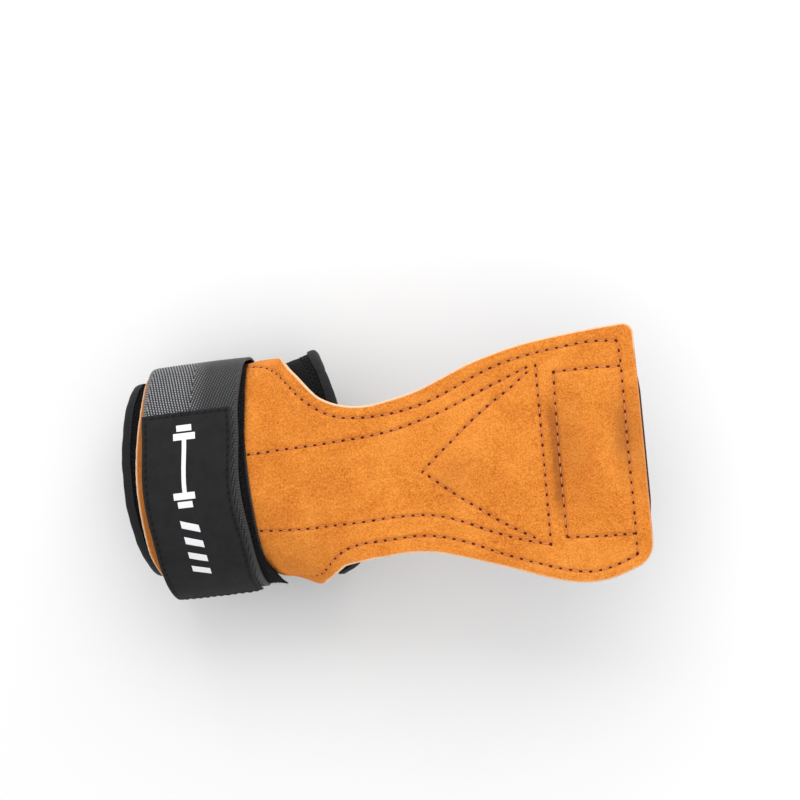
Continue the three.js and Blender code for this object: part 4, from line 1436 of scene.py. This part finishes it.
def edge_roots(grid, count, side, seed):
    P = grid["P"]
    N = normals_of(P)
    if np.sum(N * P) < 0:
        N = -N
    nu, nv = P.shape[:2]
    out, dr = [], []
    for i in range(count):
        f = hash01(i, seed)
        g = hash01(i, seed + 0.77)
        if side == "r":
            a = int(f * (nu - 1)); b = nv - 1 - int(g * 3); e = P[a, -1] - P[a, -4]
        elif side == "l":
            a = int(f * (nu - 1)); b = int(g * 3); e = P[a, 0] - P[a, 3]
        else:
            a = nu - 1 - int(g * 3); b = int(f * (nv - 1)); e = P[-1, b] - P[-4, b]
        e = e / np.linalg.norm(e)
        out.append(P[a, b] + N[a, b] * 0.3 * (hash01(i, seed + 2.2) - 0.3))
        q = e * 0.8 + N[a, b] * (hash01(i, seed + 1.9) - 0.2)
        dr.append(q / np.linalg.norm(q))
    return out, dr


for nm, grid, side, cnt, ln, mat, slot, body in (
    ("pile_fibres_loop_r", LP, "r", 620, 0.9, LOOP, "loop_tape", "palm_base"),
    ("pile_fibres_loop_l", LP, "l", 260, 0.8, LOOP, "loop_tape", "palm_base"),
    ("pile_fibres_loop_e", LP, "e", 260, 1.3, LOOP, "loop_tape", "palm_base"),
    ("pile_fibres_hook_e", HG, "e", 260, 1.3, HOOK, "hook_tape", "tab"),
    ("frayed_end_label", LG, "e", 240, 0.9, LABEL, "label", "tab"),
):
    r_, d_ = edge_roots(grid, cnt, side, 1.0 + 0.31 * len(nm))
    o = fibres(nm, r_, d_, ln, 0.07, mat)
    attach(o, body)

# ------------------------------------------------------------------ floor, light, camera
scene = bpy.context.scene
lo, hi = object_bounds()
floor_z = lo.z - 0.0006
me = bpy.data.meshes.new("floor")
me.from_pydata([(-3, -3, floor_z), (3, -3, floor_z), (3, 3, floor_z), (-3, 3, floor_z)], [], [(0, 1, 2, 3)])
floor = bpy.data.objects.new("floor", me)
scene.collection.objects.link(floor)
fm, fnt, fb = new_mat("floor_pale", 0.9, (0.97, 0.97, 0.97))
fb.inputs["Specular IOR Level"].default_value = 0.05
me.materials.append(fm)

world = bpy.data.worlds.new("studio")
scene.world = world
world.use_nodes = True
bg = world.node_tree.nodes["Background"]
bg.inputs["Color"].default_value = (1.0, 1.0, 1.0, 1)
bg.inputs["Strength"].default_value = 0.68


def area(name, loc, target, size, power, color=(1, 1, 1)):
    L = bpy.data.lights.new(name, "AREA")
    L.shape = "RECTANGLE"
    L.size, L.size_y = size
    L.energy = power
    L.color = color
    o = bpy.data.objects.new(name, L)
    scene.collection.objects.link(o)
    o.location = loc
    o.rotation_mode = "QUATERNION"
    o.rotation_quaternion = (Vector(target) - Vector(loc)).to_track_quat("-Z", "Y")
    return o


area("key", (0.30, 0.80, 0.75), (0.06, 0, 0.02), (1.2, 0.8), 6.8)
area("fill", (0.35, -0.8, 0.8), (0.06, 0, 0.02), (1.2, 0.8), 1.0)
area("top", (0.1, 0.1, 1.25), (0.07, 0, 0.0), (1.5, 1.5), 2.6)

PITCH_, YAW_, ROLL_ = math.radians(8.5), math.radians(1.5), math.radians(7.0)
target = np.array([84.6, 24.2, 33.0])
back = np.array([math.sin(PITCH_), math.sin(YAW_), 0.0])
back[2] = math.sqrt(1 - back @ back)
ex = np.array([1.0, 0, 0]) - back[0] * back
ex /= np.linalg.norm(ex)
ey = np.cross(back, ex)
right = math.cos(ROLL_) * ex - math.sin(ROLL_) * ey
up = math.sin(ROLL_) * ex + math.cos(ROLL_) * ey
eye = target + 1000.0 * back
cam_data = bpy.data.cameras.new("camera")
cam = bpy.data.objects.new("camera", cam_data)
scene.collection.objects.link(cam)
cam_data.sensor_width = 36.0
cam_data.lens = 2500.0 / 800.0 * 36.0
cam_data.clip_start, cam_data.clip_end = 0.05, 20.0
cam_data.dof.use_dof = False
M = Matrix(((right[0], up[0], back[0], eye[0] * MM), (right[1], up[1], back[1], eye[1] * MM), (right[2], up[2], back[2], eye[2] * MM), (0, 0, 0, 1)))
cam.matrix_world = M
scene.camera = cam
scene.view_settings.view_transform = "Standard"
scene.view_settings.look = "None"
